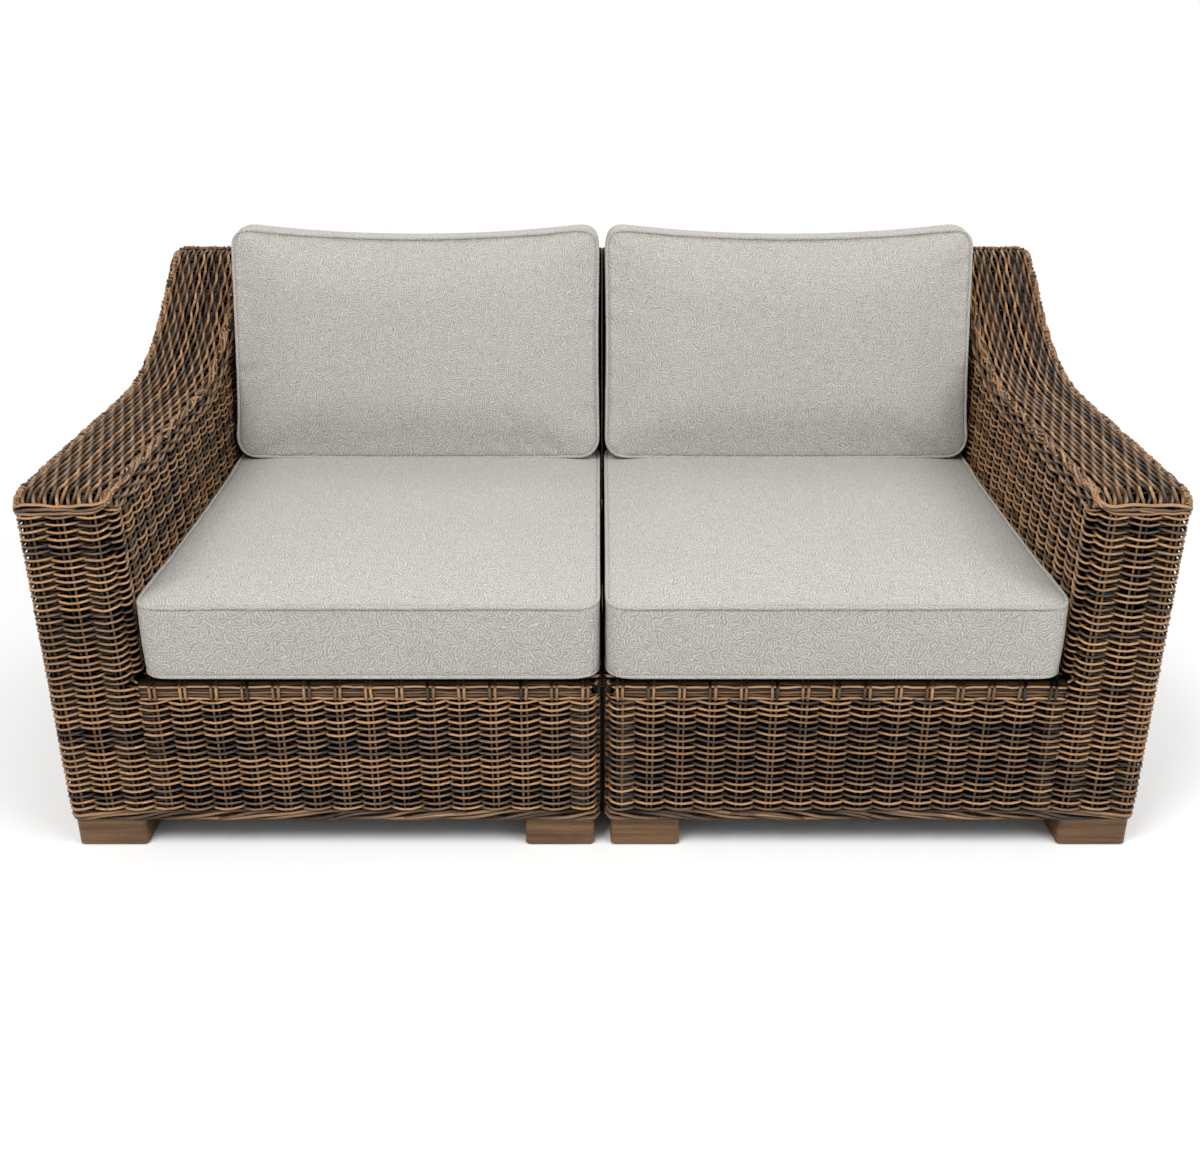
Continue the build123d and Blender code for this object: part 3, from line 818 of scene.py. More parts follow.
@dataclass
class WovenSkin:
    """All the woven panels of one section's arm, front and back.

    Attributes:
        side: The section.
        finish: The cane's material.
        sizes: The shared measures.
        weave: The open outer weave, which stands a little out of the shell.
        close_weave: The weave beside cushions, which stays under the shell.
        back_weave: The outer weave on outlines that run downwards.
        top_weave: The weave of the arm's top, whose weavers run lengthwise.
        deck_weave: The weave of the deck.
        edge_angle: Where the strands of the arm's top end on its front rounding.
        front_strands: The strands on the arm's front edge.
        ridges: For the arm's inner and outer edges, half the width over which the loose
            strands wander and the distance between their cut ends.
        side_loops: The loops of the side's weavers round the arm's outer edge.
        rear_strands: The strands across the crest of the arm.
        rear_loops: The loops round them.
        rail_strands: The long strands of the wrapped rail, from its foot up.
        falls: Length and depth of the falls at the near and far ends of the arm's top.
        lap: How far rows of weavers reach past the edge of a panel.
        margin: How near the end of a panel its stakes may stand.
        stake_foot: How far above the skirt the stakes start.
        stake_step: Distance between the rings of a stake in a flat field.
        field_inset: How far inside the sweep the flat fields of the arm's sides end.
        shortest: Length under which a weaver of them is left out.
        ease: Length over which the inner side's weavers sink in behind the arm's front.
        joint_slack: How much further from the joint the front's weave starts.
    """

    side: Side
    finish: bpy.types.Material
    sizes: Sizes = SIZES
    weave: Weave = Weave()
    close_weave: Weave = Weave(swing=0.0042, depth=0.0062, lining_depth=0.0118,
                               loose=0.0012)
    back_weave: Weave = Weave(sag=-0.0034)
    top_weave: Weave = Weave(pitch=0.0082, column=0.0262, swing=0.0008, depth=0.0023,
                             sag=0.0019, twin=0.0, tan=0.22, floor=0.42,
                             radius=0.0026, stake=0.0017, lining_depth=0.0122,
                             stake_crest=0.14, stake_tan=0.4)
    deck_weave: Weave = Weave(pitch=0.0074, swing=0.0020, depth=0.0049, radius=0.0026,
                              sag=0.0, twin=0.0, shares=(0.0, 0.10, 0.50, 0.90),
                              stake_crest=0.15, stake_tan=0.12)
    edge_angle: float = 30.0
    front_strands: tuple[Laid, ...] = (
        Laid(0.0, 0.0014, 0.0026, 0.74, 0.85, 0.0014, 0.075),
        Laid(0.0060, 0.0004, 0.0026, 0.22, 0.85, 0.0014, 0.13),
        Laid(0.0116, -0.0010, 0.0026, 0.48, 0.85, 0.0014, 0.05))
    ridges: tuple[tuple[float, float], ...] = ((0.0048, 0.024), (0.0034, 0.055))
    side_loops: Loops = Loops((0.0005, 0.0030), (0.0075, 0.0100), (0.0066, 0.0094), 0.005,
                              0.0019, (0.5, 0.3), 0.30)
    rear_strands: tuple[Laid, ...] = (Laid(0.0, -0.0008, 0.0026, 0.36, 0.6, 0.0009),
                                      Laid(0.0052, -0.0014, 0.0026, 0.22, 0.6, 0.0009))
    rear_loops: Loops = Loops((-0.0025, 0.0025), (0.0085,), (0.0052, 0.0078), 0.0048,
                              0.0023, (0.35, 0.45), 0.18)
    rail_strands: tuple[Laid, ...] = (
        Laid(0.0034, -0.0044, 0.0021, 0.74, 0.85, 0.0013),
        Laid(0.0086, -0.0062, 0.0022, 0.30, 0.62, 0.0008),
        Laid(0.0135, -0.0066, 0.0022, 0.56, 0.60, 0.0008),
        Laid(0.0184, -0.0064, 0.0022, 0.22, 0.50, 0.0008),
        Laid(0.0236, -0.0044, 0.0021, 0.72, 0.85, 0.0013),
        # The top four lie under the cushion; their low crests paint shade on them.
        Laid(0.0300, -0.0058, 0.0020, 0.50, 0.24, 0.0014),
        Laid(0.0352, -0.0056, 0.0028, 0.20, 0.20, 0.0004),
        Laid(0.0404, -0.0056, 0.0028, 0.20, 0.15, 0.0004),
        Laid(0.0456, -0.0056, 0.0028, 0.20, 0.15, 0.0004))
    falls: tuple[tuple[float, float], ...] = ((0.012, 0.003), (0.014, 0.006))
    lap: float = 0.002
    margin: float = 0.01
    stake_foot: float = 0.012
    stake_step: float = 0.02
    field_inset: float = 0.006
    shortest: float = 0.012
    ease: float = 0.03
    joint_slack: float = 0.0005

    def __post_init__(self) -> None:
        """Draws the outlines and sections that the panels share."""
        s = self.sizes
        self.arm_view = arm_outline(s)
        self.seat_view = seat_outline(s)
        self.arm_shell = Shell(self.arm_view, self._arm_section())
        self.front_shell = Shell(self.arm_view, self._front_section())
        self.back_shell = Shell(self.arm_view, self._back_section())
        self.seat_shell = Shell(self.seat_view,
                                Outline((s.joint_x, 0.0)).run((s.arm_x, 0.0)))
        self.edge_along = self.arm_view.marks[1] + s.front_round * math.radians(
            self.edge_angle)
        self.crest_along = self.arm_view.marks[6]

    def _arm_section(self) -> Outline:
        """Section of the arm's shell from its inner rim over the top to its outer rim."""
        s = self.sizes
        line = Outline((s.arm_x, -s.rim)).run((s.arm_x, -s.inner_round))
        line.arc((s.arm_x + s.inner_round, -s.inner_round), s.inner_round, 180, 90)
        return self._outer_rim(line)

    def _front_section(self) -> Outline:
        """Plan of the front below the deck, from the joint to the arm's outer rim."""
        s = self.sizes
        x = s.joint_x + self.joint_slack
        line = Outline((x, -s.joint_round - 0.001)).run((x, -s.joint_round))
        line.arc((s.joint_x + s.joint_round, -s.joint_round),
                 s.joint_round - self.joint_slack, 180, 90)
        return self._outer_rim(line)

    def _back_section(self) -> Outline:
        """Section of the back, from the joint to the arm's outer rim."""
        return self._outer_rim(Outline((self.sizes.joint_x, 0.0)))

    def _outer_rim(self, line: Outline) -> Outline:
        """Runs a section on round the arm's outer rim."""
        s = self.sizes
        line.run((s.width - s.outer_round, 0.0))
        line.arc((s.width - s.outer_round, -s.outer_round), s.outer_round, 90, 0)
        return line.run((s.width, -s.rim))

    def rear_y(self, height: float | np.ndarray) -> float | np.ndarray:
        """Depth of the raked rear at a height."""
        points = np.array(self.arm_view.points)
        low = points[-1]
        return low[0] + (height - low[1]) * math.tan(math.radians(self.sizes.back_rake))

    def rest_y(self, height: float | np.ndarray) -> float | np.ndarray:
        """Depth of the leaning rest at a height."""
        foot = self.seat_view.points[0]
        return foot[0] + (height - foot[1]) * math.tan(math.radians(self.sizes.rest_lean))

    def sweep_y(self, height: float, inset: float) -> float:
        """Depth at which the arm's top, drawn in by an inset, reaches a height."""
        view = self.arm_view
        lengths = np.linspace(view.marks[3], view.marks[6], 400)
        point, out = view.at(lengths)
        line = point - out * inset
        return float(np.interp(height, line[:, 1], line[:, 0]))

    def across_rows(self, work: StrandWork, weave: Weave, shell: Shell,
                    alongs: Sequence[tuple[int, float]], start: float, end: float,
                    bends: Sequence[tuple[float, float]] = (),
                    anchor: float | None = None) -> None:
        """Adds weavers that run across a shell.

        Args:
            work: The bundle.
            weave: The weave.
            shell: The shell.
            alongs: Row numbers and their places along the view.
            start: First place across.
            end: Last place across.
            bends: Stretches with close rings.
            anchor: Place across where a column stands; the section's end if left out.
        """
        anchor = shell.section.total if anchor is None else anchor
        run = weave.knots(start, end, anchor, bends)
        for number, along in alongs:
            phase = math.pi * ((anchor - run) / weave.column + number)
            weave.weaver(work, shell.row(along), run, phase, number)
            weave.lining(work, shell.row(along), start, end, bends)

    def along_stakes(self, work: StrandWork, weave: Weave, shell: Shell,
                     start: float, end: float, low: float, high: float,
                     bends: Sequence[tuple[float, float]] = (),
                     anchor: float | None = None, step: float = 0.024) -> None:
        """Adds the pairs of stakes that run along a shell.

        Args:
            work: The bundle.
            weave: The weave.
            shell: The shell.
            start: First place along.
            end: Last place along.
            low: First place across that may carry a pair.
            high: Last place across that may carry a pair.
            bends: Stretches with close rings.
            anchor: Place across where a column stands.
            step: Distance between rings.
        """
        anchor = shell.section.total if anchor is None else anchor
        run = weave.stations(start, end, bends, step=step, fine_step=0.007)
        for number in range(math.ceil((anchor - low) / weave.column)):
            across = anchor - number * weave.column
            if across <= high:
                weave.stakes(work, shell.column(across), run)

    def front_rows(self, low: float, high: float) -> list[tuple[int, float]]:
        """Numbered rows between two heights, by their place up the front."""
        return [(number, height - self.sizes.skirt)
                for number, height in rows(low, high, self.weave.pitch)]

    def front(self) -> None:
        """Builds the apron and the front of the arm."""
        s, weave = self.sizes, self.weave
        low_shell, shell = self.front_shell, self.arm_shell
        plan, section = low_shell.section, shell.section
        arm_start = plan.length_at(0, s.arm_x, 2, 3)
        foot, level = s.border_top - self.lap, s.deck_height - s.skirt
        apron = StrandWork("apron_panel", self.side)
        self.across_rows(apron, weave, low_shell, self.front_rows(foot, s.wrap_low + 0.003),
                         0.0, arm_start, [(0.0, plan.marks[2])])
        self.along_stakes(apron, weave, low_shell, self.stake_foot,
                          s.wrap_low - s.skirt + 0.006, self.margin, arm_start)
        apron.build("frame", self.finish, [self.side.node("apron_panel")])
        arm = StrandWork("arm_front_panel", self.side)
        self.across_rows(arm, weave, low_shell, self.front_rows(foot, s.deck_height),
                         arm_start, plan.total, [(plan.marks[3], plan.total)])
        top = self.edge_along - 0.006
        self.across_rows(arm, weave, shell, self.front_rows(s.deck_height, s.skirt + top),
                         0.0, section.total,
                         [(0.0, section.marks[2]), (section.marks[3], section.total)])
        self.along_stakes(arm, weave, low_shell, self.stake_foot, level,
                          arm_start - self.margin, plan.total)
        self.along_stakes(arm, weave, shell, level, top + 0.004, 0.001, section.total,
                          [(self.arm_view.marks[1], top)])
        self.front_edge(arm)
        arm.build("frame", self.finish, [self.side.node("arm_front_panel")])

    def front_edge(self, work: StrandWork) -> None:
        """Adds the strands on the arm's front edge, which turn back along its inner ridge."""
        shell, section = self.arm_shell, self.arm_shell.section
        ridge = (section.marks[1] + section.marks[2]) / 2
        bend, draw, lift_sway, tuck, tucked = 0.020, 0.35, 0.0005, 0.004, 4
        angles = np.linspace(0, math.pi / 2, 7)[1:]
        for strand in self.front_strands:
            turn = bend + strand.gap
            along, across = self.edge_along - strand.gap, ridge - draw * strand.gap
            front = np.linspace(section.total, across + turn, 26)
            back = np.linspace(along + turn, along + turn + strand.tail, 12)[1:]
            alongs = np.concatenate([np.full(len(front), along),
                                     along + turn * (1 - np.cos(angles)), back])
            places = np.concatenate([front, across + turn * (1 - np.sin(angles)),
                                     np.full(len(back), across)])
            count = len(alongs)
            end = np.clip((np.arange(count) - count + tucked) / tucked, 0, 1)
            points = shell.place(alongs + work.wander(count, strand.sway),
                                 places + work.wander(count, lift_sway),
                                 strand.lift - tuck * end + work.wander(count, lift_sway))
            work.add(points, strand.radius, crest=strand.crest, tone=strand.tone)

    def ridge(self, work: StrandWork, across: float, reach: tuple[float, float],
              spread: float, gap: float) -> None:
        """Adds the loose strands along an edge of the arm, with cut ends between them.

        Args:
            work: The bundle.
            across: Place of the edge across the shell.
            reach: First and last place along it.
            spread: Half the width that the strands wander over.
            gap: Distance between the cut ends, about.
        """
        shell, (start, end) = self.arm_shell, reach
        run = np.arange(start, end, 0.0075)
        strands, twist, height, foot, lashed = 3, 0.130, 0.0016, 0.004, 0.55
        for number in range(strands):
            phase = TAU * (run / twist + number / strands) + work.wander(len(run), 0.9, 0.12)
            side = spread * np.sin(phase) + work.wander(len(run), 0.0010, 0.5)
            lift = height * np.cos(phase) + 0.0004 + work.wander(len(run), 0.0006, 0.6)
            work.add(shell.place(run, across + side, lift), 0.0024,
                     crest=0.55 + 0.3 * np.cos(phase), tan=0.34)
        part, whole = np.linspace(0, 1, 4), np.linspace(-1, 1, 8)
        place = start + 0.012
        while place < end - 0.05:
            slant = work.chance.uniform(-0.004, 0.006)
            lean = work.chance.uniform(0.002, 0.006) * work.chance.choice((-1, 1))
            top = work.chance.uniform(0.0022, 0.0046)
            work.add(shell.place(place + slant * part, across + lean * part,
                                 (top + foot) * part - foot), 0.0021, crest=0.95,
                     tone=work.chance.uniform(0.70, 0.98))
            if work.chance.random() < lashed:
                length = work.chance.uniform(0.016, 0.034)
                lift = (0.0066 + top * 0.3) * (1 - whole ** 2) - foot
                work.add(shell.place(np.clip(place + length * whole, start, end),
                                     across + spread * 1.5 * whole * np.sign(lean), lift),
                         0.0022, crest=0.8, tan=0.6)
            place += gap * work.chance.uniform(0.6, 1.5)

    def arm_top(self) -> None:
        """Builds the arm's top, whose weavers run lengthwise, and its two ridges."""
        weave, shell = self.top_weave, self.arm_shell
        view, section = self.arm_view, shell.section
        work = StrandWork("arm_top_panel", self.side)
        start, end = self.edge_along, view.marks[6] + self.lap
        count = round(section.total / weave.pitch)
        columns = round((end - start) / weave.column)
        column = (end - start) / columns
        run = weave.knots(start, end, start, [(start, view.marks[2] + 0.01)], column)
        (near, near_drop), (far, far_drop) = self.falls
        fall = np.clip((run - (end - far)) / far, 0, 1) ** 2 * -far_drop
        fall += np.clip((start + near - run) / near, 0, 1) ** 2 * -near_drop
        for number in range(count + 1):
            weave.weaver(work, shell.column(section.total * number / count), run,
                         math.pi * ((run - start) / column + number), number, fall)
            work.course = work.tone(weave.tan)
        # Painted shade: a black layer of strands under the top closes the view through it.
        run = weave.stations(start, end, [(start, end)], fine_step=0.03)
        for number in range(2 * count + 1):
            across = section.total * number / (2 * count)
            work.add(shell.place(run, across, -weave.lining_depth), weave.lining_radius,
                     crest=0.0, tone=weave.lining_tone)
        over = [(0.0, section.total)]
        cross = weave.stations(0.0, section.total, over, fine_step=0.007)
        for number in range(1, columns):
            points = shell.place(start + number * column + work.wander(len(cross), 0.0006),
                                 cross, -weave.depth - weave.radius)
            work.add(points, weave.stake, crest=weave.stake_crest, tan=weave.stake_tan)
        inner = (section.marks[1] + section.marks[2]) / 2
        outer = (section.marks[3] + section.marks[4]) / 2
        for across, (spread, gap) in zip((inner, outer), self.ridges):
            self.ridge(work, across, (start, end), spread, gap)
        self.side_loops.lay(work, shell.column(outer), np.arange(
            start + 0.006, end - 0.006, 2 * self.weave.pitch))
        run = self.weave.stations(0.0, section.total, over, fine_step=0.006)
        for strand in self.rear_strands:
            strand.lay(work, shell, run, end)
        self.rear_loops.lay(work, shell.row(end), np.arange(
            0.006, section.total - 0.004, 0.0088))
        work.build("frame", self.finish, [self.side.node("arm_top_panel")])

    def field_front(self, height: float) -> float:
        """Depth at which the flat fields of the arm's sides start at a height."""
        s = self.sizes
        if height < s.arm_height - s.rim - self.lap:
            return s.rim
        return self.sweep_y(height, s.rim - self.field_inset)

    def arm_outer(self) -> None:
        """Builds the flat field of the arm's outer side, whose columns fan out."""
        s, weave = self.sizes, self.weave
        work, field = StrandWork("arm_outer_panel", self.side), Field(s.width, 1)
        fan = round(0.85 / weave.column)
        for number, height in rows(s.border_top - self.lap, s.back_height - s.rim - 0.008,
                                   weave.pitch):
            front, rear = self.field_front(height), float(self.rear_y(height)) - s.rim
            if rear - front < self.shortest:
                continue
            column = (rear - s.rim) / fan
            run = weave.knots(front, rear, s.rim, column=column)
            weave.weaver(work, field.row(height), run,
                         math.pi * ((run - s.rim) / column + number), number)
            weave.lining(work, field.row(height), front, rear)
        heights = np.arange(s.skirt + self.stake_foot, s.back_height, self.stake_step)
        for column in range(1, fan):
            depths = s.rim + column / fan * (self.rear_y(heights) - 2 * s.rim)
            tops = np.array([self.arm_top_at(depth) for depth in depths])
            keep = heights < tops - s.outer_round * 0.5
            if keep.sum() > 1:
                weave.stakes(work, field.column(depths[keep]), heights[keep])
        work.build("frame", self.finish, [self.side.node("arm_outer_panel")])

    def arm_inner(self) -> None:
        """Builds the flat field of the arm's inner side, above the deck."""
        s, weave = self.sizes, self.close_weave
        work, field = StrandWork("arm_inner_panel", self.side), Field(s.arm_x, -1)
        for number, height in rows(s.deck_height - 0.001, s.back_height - s.rim - 0.02,
                                   weave.pitch):
            front, rear = self.field_front(height), float(self.rest_y(height)) + 0.006
            if rear - front < self.shortest:
                continue
            run = weave.knots(front, rear, s.rim)
            weave.lining(work, field.row(height), front, rear)
            ease = np.clip((front + self.ease - run) / self.ease, 0, 1)
            bend = (weave.depth - self.weave.depth) * ease if front == s.rim else 0.0
            weave.weaver(work, field.row(height), run,
                         math.pi * ((run - s.rim) / weave.column + number), number, bend)
        heights = np.arange(s.deck_height, s.back_height, self.stake_step)
        for column in range(1, round(s.depth / weave.column)):
            depth = s.rim + column * weave.column
            keep = (heights < self.arm_top_at(depth) - 0.016) & (
                self.rest_y(heights) > depth)
            if keep.sum() > 2:
                weave.stakes(work, field.column(depth), heights[keep])
        work.build("frame", self.finish, [self.side.node("arm_inner_panel")])

    def arm_top_at(self, depth: float) -> float:
        """Height of the arm's top at a depth."""
        view = self.arm_view
        point, _ = view.at(np.linspace(view.marks[1], view.marks[7], 500))
        return float(np.interp(depth, point[:, 0], point[:, 1]))

    def back(self) -> None:
        """Builds the outside of the back, the crest and the rest."""
        s, weave, shell = self.sizes, self.back_weave, self.back_shell
        view, total = self.arm_view, shell.section.total
        bend, touch = [(shell.section.marks[1], total)], view.marks[8]
        slope = math.cos(math.radians(s.back_rake))
        tilt = s.rim * math.sin(math.radians(s.back_rake))
        top = view.points[-1][1] + (view.total - touch) * slope
        alongs = [(number, view.total - (height - tilt - s.skirt) / slope)
                  for number, height in rows(s.border_top, top + tilt, weave.pitch)]
        back = StrandWork("back_panel", self.side)
        self.across_rows(back, weave, shell, alongs, 0.0, total, bend)
        self.along_stakes(back, weave, shell, touch, view.total - self.stake_foot,
                          self.margin, total)
        back.build("frame", self.finish, [self.side.node("back_panel")])
        crest = StrandWork("crest_panel", self.side)
        alongs = self.rows_down(alongs[-1], self.crest_along + 0.004)
        self.across_rows(crest, weave, shell, alongs, 0.0, total, bend)
        self.along_stakes(crest, weave, shell, self.crest_along, touch, self.margin, total,
                          [(self.crest_along, touch)])
        seat, shell, width = self.seat_view, self.seat_shell, s.arm_x - s.joint_x
        row, along = alongs[-1]
        alongs = self.rows_down((row, seat.marks[2] + along - view.marks[6]), 0.003)
        upper = [place for place in alongs if place[1] > seat.marks[1]]
        # The columns of the rest stand in line with those of the back.
        self.across_rows(crest, weave, shell, upper, 0.0, width, anchor=total)
        self.along_stakes(crest, weave, shell, seat.marks[1], seat.marks[2], self.margin,
                          width, [(seat.marks[1], seat.marks[2])], total)
        crest.build("frame", self.finish, [self.side.node("crest_panel")])
        rest = StrandWork("back_rest_panel", self.side)
        # The rest is mostly behind its cushion, so its weavers have fewer rings.
        close = replace(self.close_weave, shares=self.deck_weave.shares)
        self.across_rows(rest, close, shell, alongs[len(upper):], 0.0, width, anchor=total)
        self.along_stakes(rest, close, shell, 0.0, seat.marks[1], self.margin, width,
                          anchor=total, step=0.04)
        rest.build("frame", self.finish, [self.side.node("back_rest_panel")])

    def rows_down(self, last: tuple[int, float], end: float) -> list[tuple[int, float]]:
        """Numbered rows that follow on a last one towards the start of a view.

        Args:
            last: Number and place of the last row.
            end: Where the rows end.

        Returns:
            The rows' numbers and places.
        """
        number, place = last
        pitch = self.back_weave.pitch
        count = math.ceil((place - end) / pitch)
        return [(number + step, place - pitch * step) for step in range(1, count)]

    def deck(self) -> None:
        """Builds the deck under the seat cushion."""
        s, weave = self.sizes, self.deck_weave
        work = StrandWork("seat_deck", self.side)
        shell = Shell(Outline((0.0, s.deck_height)).run((s.depth, s.deck_height)),
                      Outline((0.0, 0.0)).run((s.width, 0.0)))
        rear = float(self.rest_y(s.deck_height))
        run = weave.knots(s.joint_x, s.arm_x, s.arm_x)
        for number, depth in rows(s.joint_round, rear - self.lap, weave.pitch):
            weave.weaver(work, shell.row(depth), run,
                         math.pi * ((s.arm_x - run) / weave.column + number), number)
        lengths = np.arange(s.joint_round, rear, 0.04)
        for column in range(1, round((s.arm_x - s.joint_x) / weave.column)):
            for hand in (-1, 1):
                x = s.arm_x - column * weave.column + hand * weave.spread
                work.add(shell.place(lengths, x, -weave.depth), weave.stake,
                         crest=weave.stake_crest, tan=weave.stake_tan)
        work.build("frame", self.finish, [self.side.node("seat_deck")])

    def rail(self) -> None:
        """Builds the wrapped rail: long strands under pairs of wraps."""
        s, weave, section = self.sizes, self.weave, self.front_shell.section
        fillet = 0.0075
        view = Outline((0.0, s.wrap_low)).run((0.0, s.deck_height - fillet))
        view.arc((fillet, s.deck_height - fillet), fillet, 180, 90)
        shell = Shell(view.run((s.joint_round, s.deck_height)), section)
        end, bend = section.length_at(0, s.arm_x, 2, 3), [(0.0, section.marks[2])]
        work = StrandWork("deck_rail_wrap", self.side)
        run = weave.stations(0.0, end, bend, step=0.012)
        for strand in self.rail_strands:
            if strand.gap <= view.total:
                strand.lay(work, shell, run, step=0.9, lift_sway=0.0004)
        # Painted shade: black strands behind the rail close the view through it.
        for height in np.arange(0.002, view.total, 0.0056):
            weave.lining(work, shell.row(height), 0.0, end, bend)
        gap, sway, depth, rise, tuck, margin = 0.0040, 0.0006, 0.0025, 0.0017, 0.003, 0.004
        around = np.linspace(0.0, view.total, 14)
        lift = rise * (around < 0.024) - depth
        lift -= tuck * np.clip((margin - around) / margin, 0, 1)
        # Painted shade: the wraps turn near black where they run up under the cushion.
        crest = np.interp(around, (0.0, 0.022, 0.028), (0.70, 0.78, 0.08))
        for column in np.arange(section.total, margin, -weave.column):
            if column > end - margin:
                continue
            for hand in (-1, 1):
                across = column + hand * gap + work.wander(len(around), sway)
                work.add(shell.place(around, across, lift), 0.0024, crest=crest, tan=0.12)
        work.build("frame", self.finish, [self.side.node("deck_rail_wrap")])

    def border_line(self, height: float) -> Outline:
        """The closed plan of the border at a height, from the middle of its front."""
        s, inset = self.sizes, 0.0042
        near, far, front = s.joint_x + inset, s.width - inset, inset
        rear = float(self.rear_y(height)) - inset
        joint, corner = 0.006, s.outer_round - 0.003
        line = Outline(((near + far) / 2, front))
        for centre, radius, angle in (
                ((near + joint, front + joint), joint, 270),
                ((near + joint, rear - joint), joint, 180),
                ((far - corner, rear - corner), corner, 90),
                ((far - corner, front + corner), corner, 0)):
            line.run(turned(centre, radius, angle))
            line.arc(centre, radius, angle, angle - 90)
        return line.run(((near + far) / 2, front))

    def border(self) -> None:
        """Builds the long low twist of strands round the lower edge."""
        middle = (self.sizes.skirt + self.sizes.border_top) / 2
        twist, step, thick, high = 0.290, 0.0110, 0.0021, 0.0072
        tones = (0.14, 0.50, 0.26, 0.70, 0.20, 0.40, 0.12)
        work, line = StrandWork("border_plait", self.side), self.border_line(middle)
        turns = round(line.total / twist)
        run = np.linspace(0, line.total, round(line.total / step) + 1)
        place, out = line.at(run)
        lap = TAU * run / line.total
        for number, tone in enumerate(tones):
            phase = turns * lap + TAU * number / len(tones)
            phase += 0.50 * np.sin(11 * lap + 2.1 * number)
            side = high * np.sin(phase) + 0.0011 * np.sin(37 * lap + number)
            points = np.column_stack([place + out * (thick * np.cos(phase))[:, None],
                                      middle + side])
            points[-1] = points[0]
            work.add(points, 0.0027, crest=0.50 + 0.34 * np.cos(phase), tone=tone)
        work.build("frame", self.finish, [self.side.node("border_plait")])

    def joint(self) -> None:
        """Builds the edge strands of the end at the joint, which close the slot there."""
        s, view = self.sizes, self.seat_view
        radius, gap, first, pitch, margin = 0.0028, 0.0002, 0.0034, 0.0054, 0.004
        work = StrandWork("joint_edge", self.side)
        around = np.arange(0.0, view.total, 0.008)
        deck = np.arange(s.joint_round, float(self.rest_y(s.deck_height)), 0.012)
        upright = np.arange(s.skirt + margin, s.deck_height - margin, 0.012)
        for number in range(4):
            inset = first + number * pitch
            spot, out = view.at(around)
            spot = spot - out * (inset + work.wander(len(around), 0.0004)[:, None])
            lines = (spot, np.column_stack([deck, np.full(len(deck), s.deck_height - inset)]),
                     np.column_stack([np.full(len(upright), s.joint_round + inset), upright]))
            for line in lines:
                points = np.column_stack([np.full(len(line), radius + gap), line])
                # A low crest paints shade on these strands, which lie in the slot between the
                # sections.
                work.add(points, radius, crest=0.16, tone=0.2 + 0.1 * number)
        work.build("frame", self.finish)

    def build(self) -> None:
        """Builds every woven panel of the section."""
        self.front()
        self.arm_top()
        self.arm_outer()
        self.arm_inner()
        self.back()
        self.deck()
        self.rail()
        self.border()
        self.joint()


class Nodes:
    """A node tree with short ways to add and join its nodes."""

    def __init__(self, tree: bpy.types.NodeTree) -> None:
        """Takes the tree."""
        self.tree = tree

    def add(self, kind: str, sockets: dict | None = None, **settings) -> bpy.types.Node:
        """Adds a node.

        Args:
            kind: Its type.
            sockets: Values or links for its inputs, by name or number.
            settings: Its own settings.

        Returns:
            The node.
        """
        node = self.tree.nodes.new(kind)
        for name, value in settings.items():
            setattr(node, name, value)
        for name, value in (sockets or {}).items():
            self.feed(node.inputs[name], value)
        return node

    def feed(self, socket: bpy.types.NodeSocket, value: object) -> None:
        """Sets a socket to a value, or links it."""
        if isinstance(value, bpy.types.NodeSocket):
            self.tree.links.new(value, socket)
        else:
            socket.default_value = value

    def math(self, operation: str, first: object, second: object = 0.5,
             third: object = 0.5) -> object:
        """Adds a calculation and returns its value."""
        return self.add("ShaderNodeMath", {0: first, 1: second, 2: third},
                        operation=operation).outputs[0]


class Recipe(Nodes):
    """A material under construction."""

    def __init__(self, name: str) -> None:
        """Starts a material with its shader and output.

        Args:
            name: The material's name.
        """
        self.material = bpy.data.materials.new(name)
        self.material.use_nodes = True
        super().__init__(self.material.node_tree)
        self.shader = self.tree.nodes["Principled BSDF"]
        self.coords = self.add("ShaderNodeTexCoord").outputs["Object"]

    def noise(self, scale: float, detail: float = 3.0, vector: object = None,
              stretch: Sequence[float] | None = None, roughness: float = 0.5) -> object:
        """Adds a noise and returns its value."""
        vector = self.coords if vector is None else vector
        if stretch is not None:
            vector = self.add("ShaderNodeMapping", {"Vector": vector, "Scale": stretch}).outputs[0]
        return self.add("ShaderNodeTexNoise", {
            "Vector": vector, "Scale": scale, "Detail": detail,
            "Roughness": roughness}).outputs["Fac"]

    def ramp(self, value: object, stops: Sequence[tuple[float, Sequence[float]]]) -> object:
        """Adds a colour ramp and returns its colour."""
        node = self.add("ShaderNodeValToRGB", {"Fac": value})
        bar = node.color_ramp.elements
        for place, _ in stops[2:]:
            bar.new(place)
        for element, (place, colour) in zip(bar, stops):
            element.position = place
            element.color = (*colour, 1)
        return node.outputs["Color"]

    def mix(self, share: object, first: object, second: object,
            blend: str = "MULTIPLY") -> object:
        """Mixes two colours and returns the colour."""
        node = self.add("ShaderNodeMix", {0: share, 6: first, 7: second},
                        data_type="RGBA", blend_type=blend)
        return node.outputs[2]

    def bump(self, height: object, strength: float, distance: float,
             normal: object = None) -> object:
        """Adds a bump and returns its normal."""
        sockets = {"Strength": strength, "Distance": distance, "Height": height}
        if normal is not None:
            sockets["Normal"] = normal
        return self.add("ShaderNodeBump", sockets).outputs["Normal"]

    def finish(self, **sockets) -> bpy.types.Material:
        """Sets the shader's sockets and returns the material.

        Args:
            sockets: Values by socket name, with underscores for spaces.

        Returns:
            The material.
        """
        for name, value in sockets.items():
            self.feed(self.shader.inputs[name.replace("_", " ")], value)
        return self.material


def grey(value: float) -> tuple[float, float, float, float]:
    """A grey as a colour socket takes it."""
    return (value, value, value, 1.0)


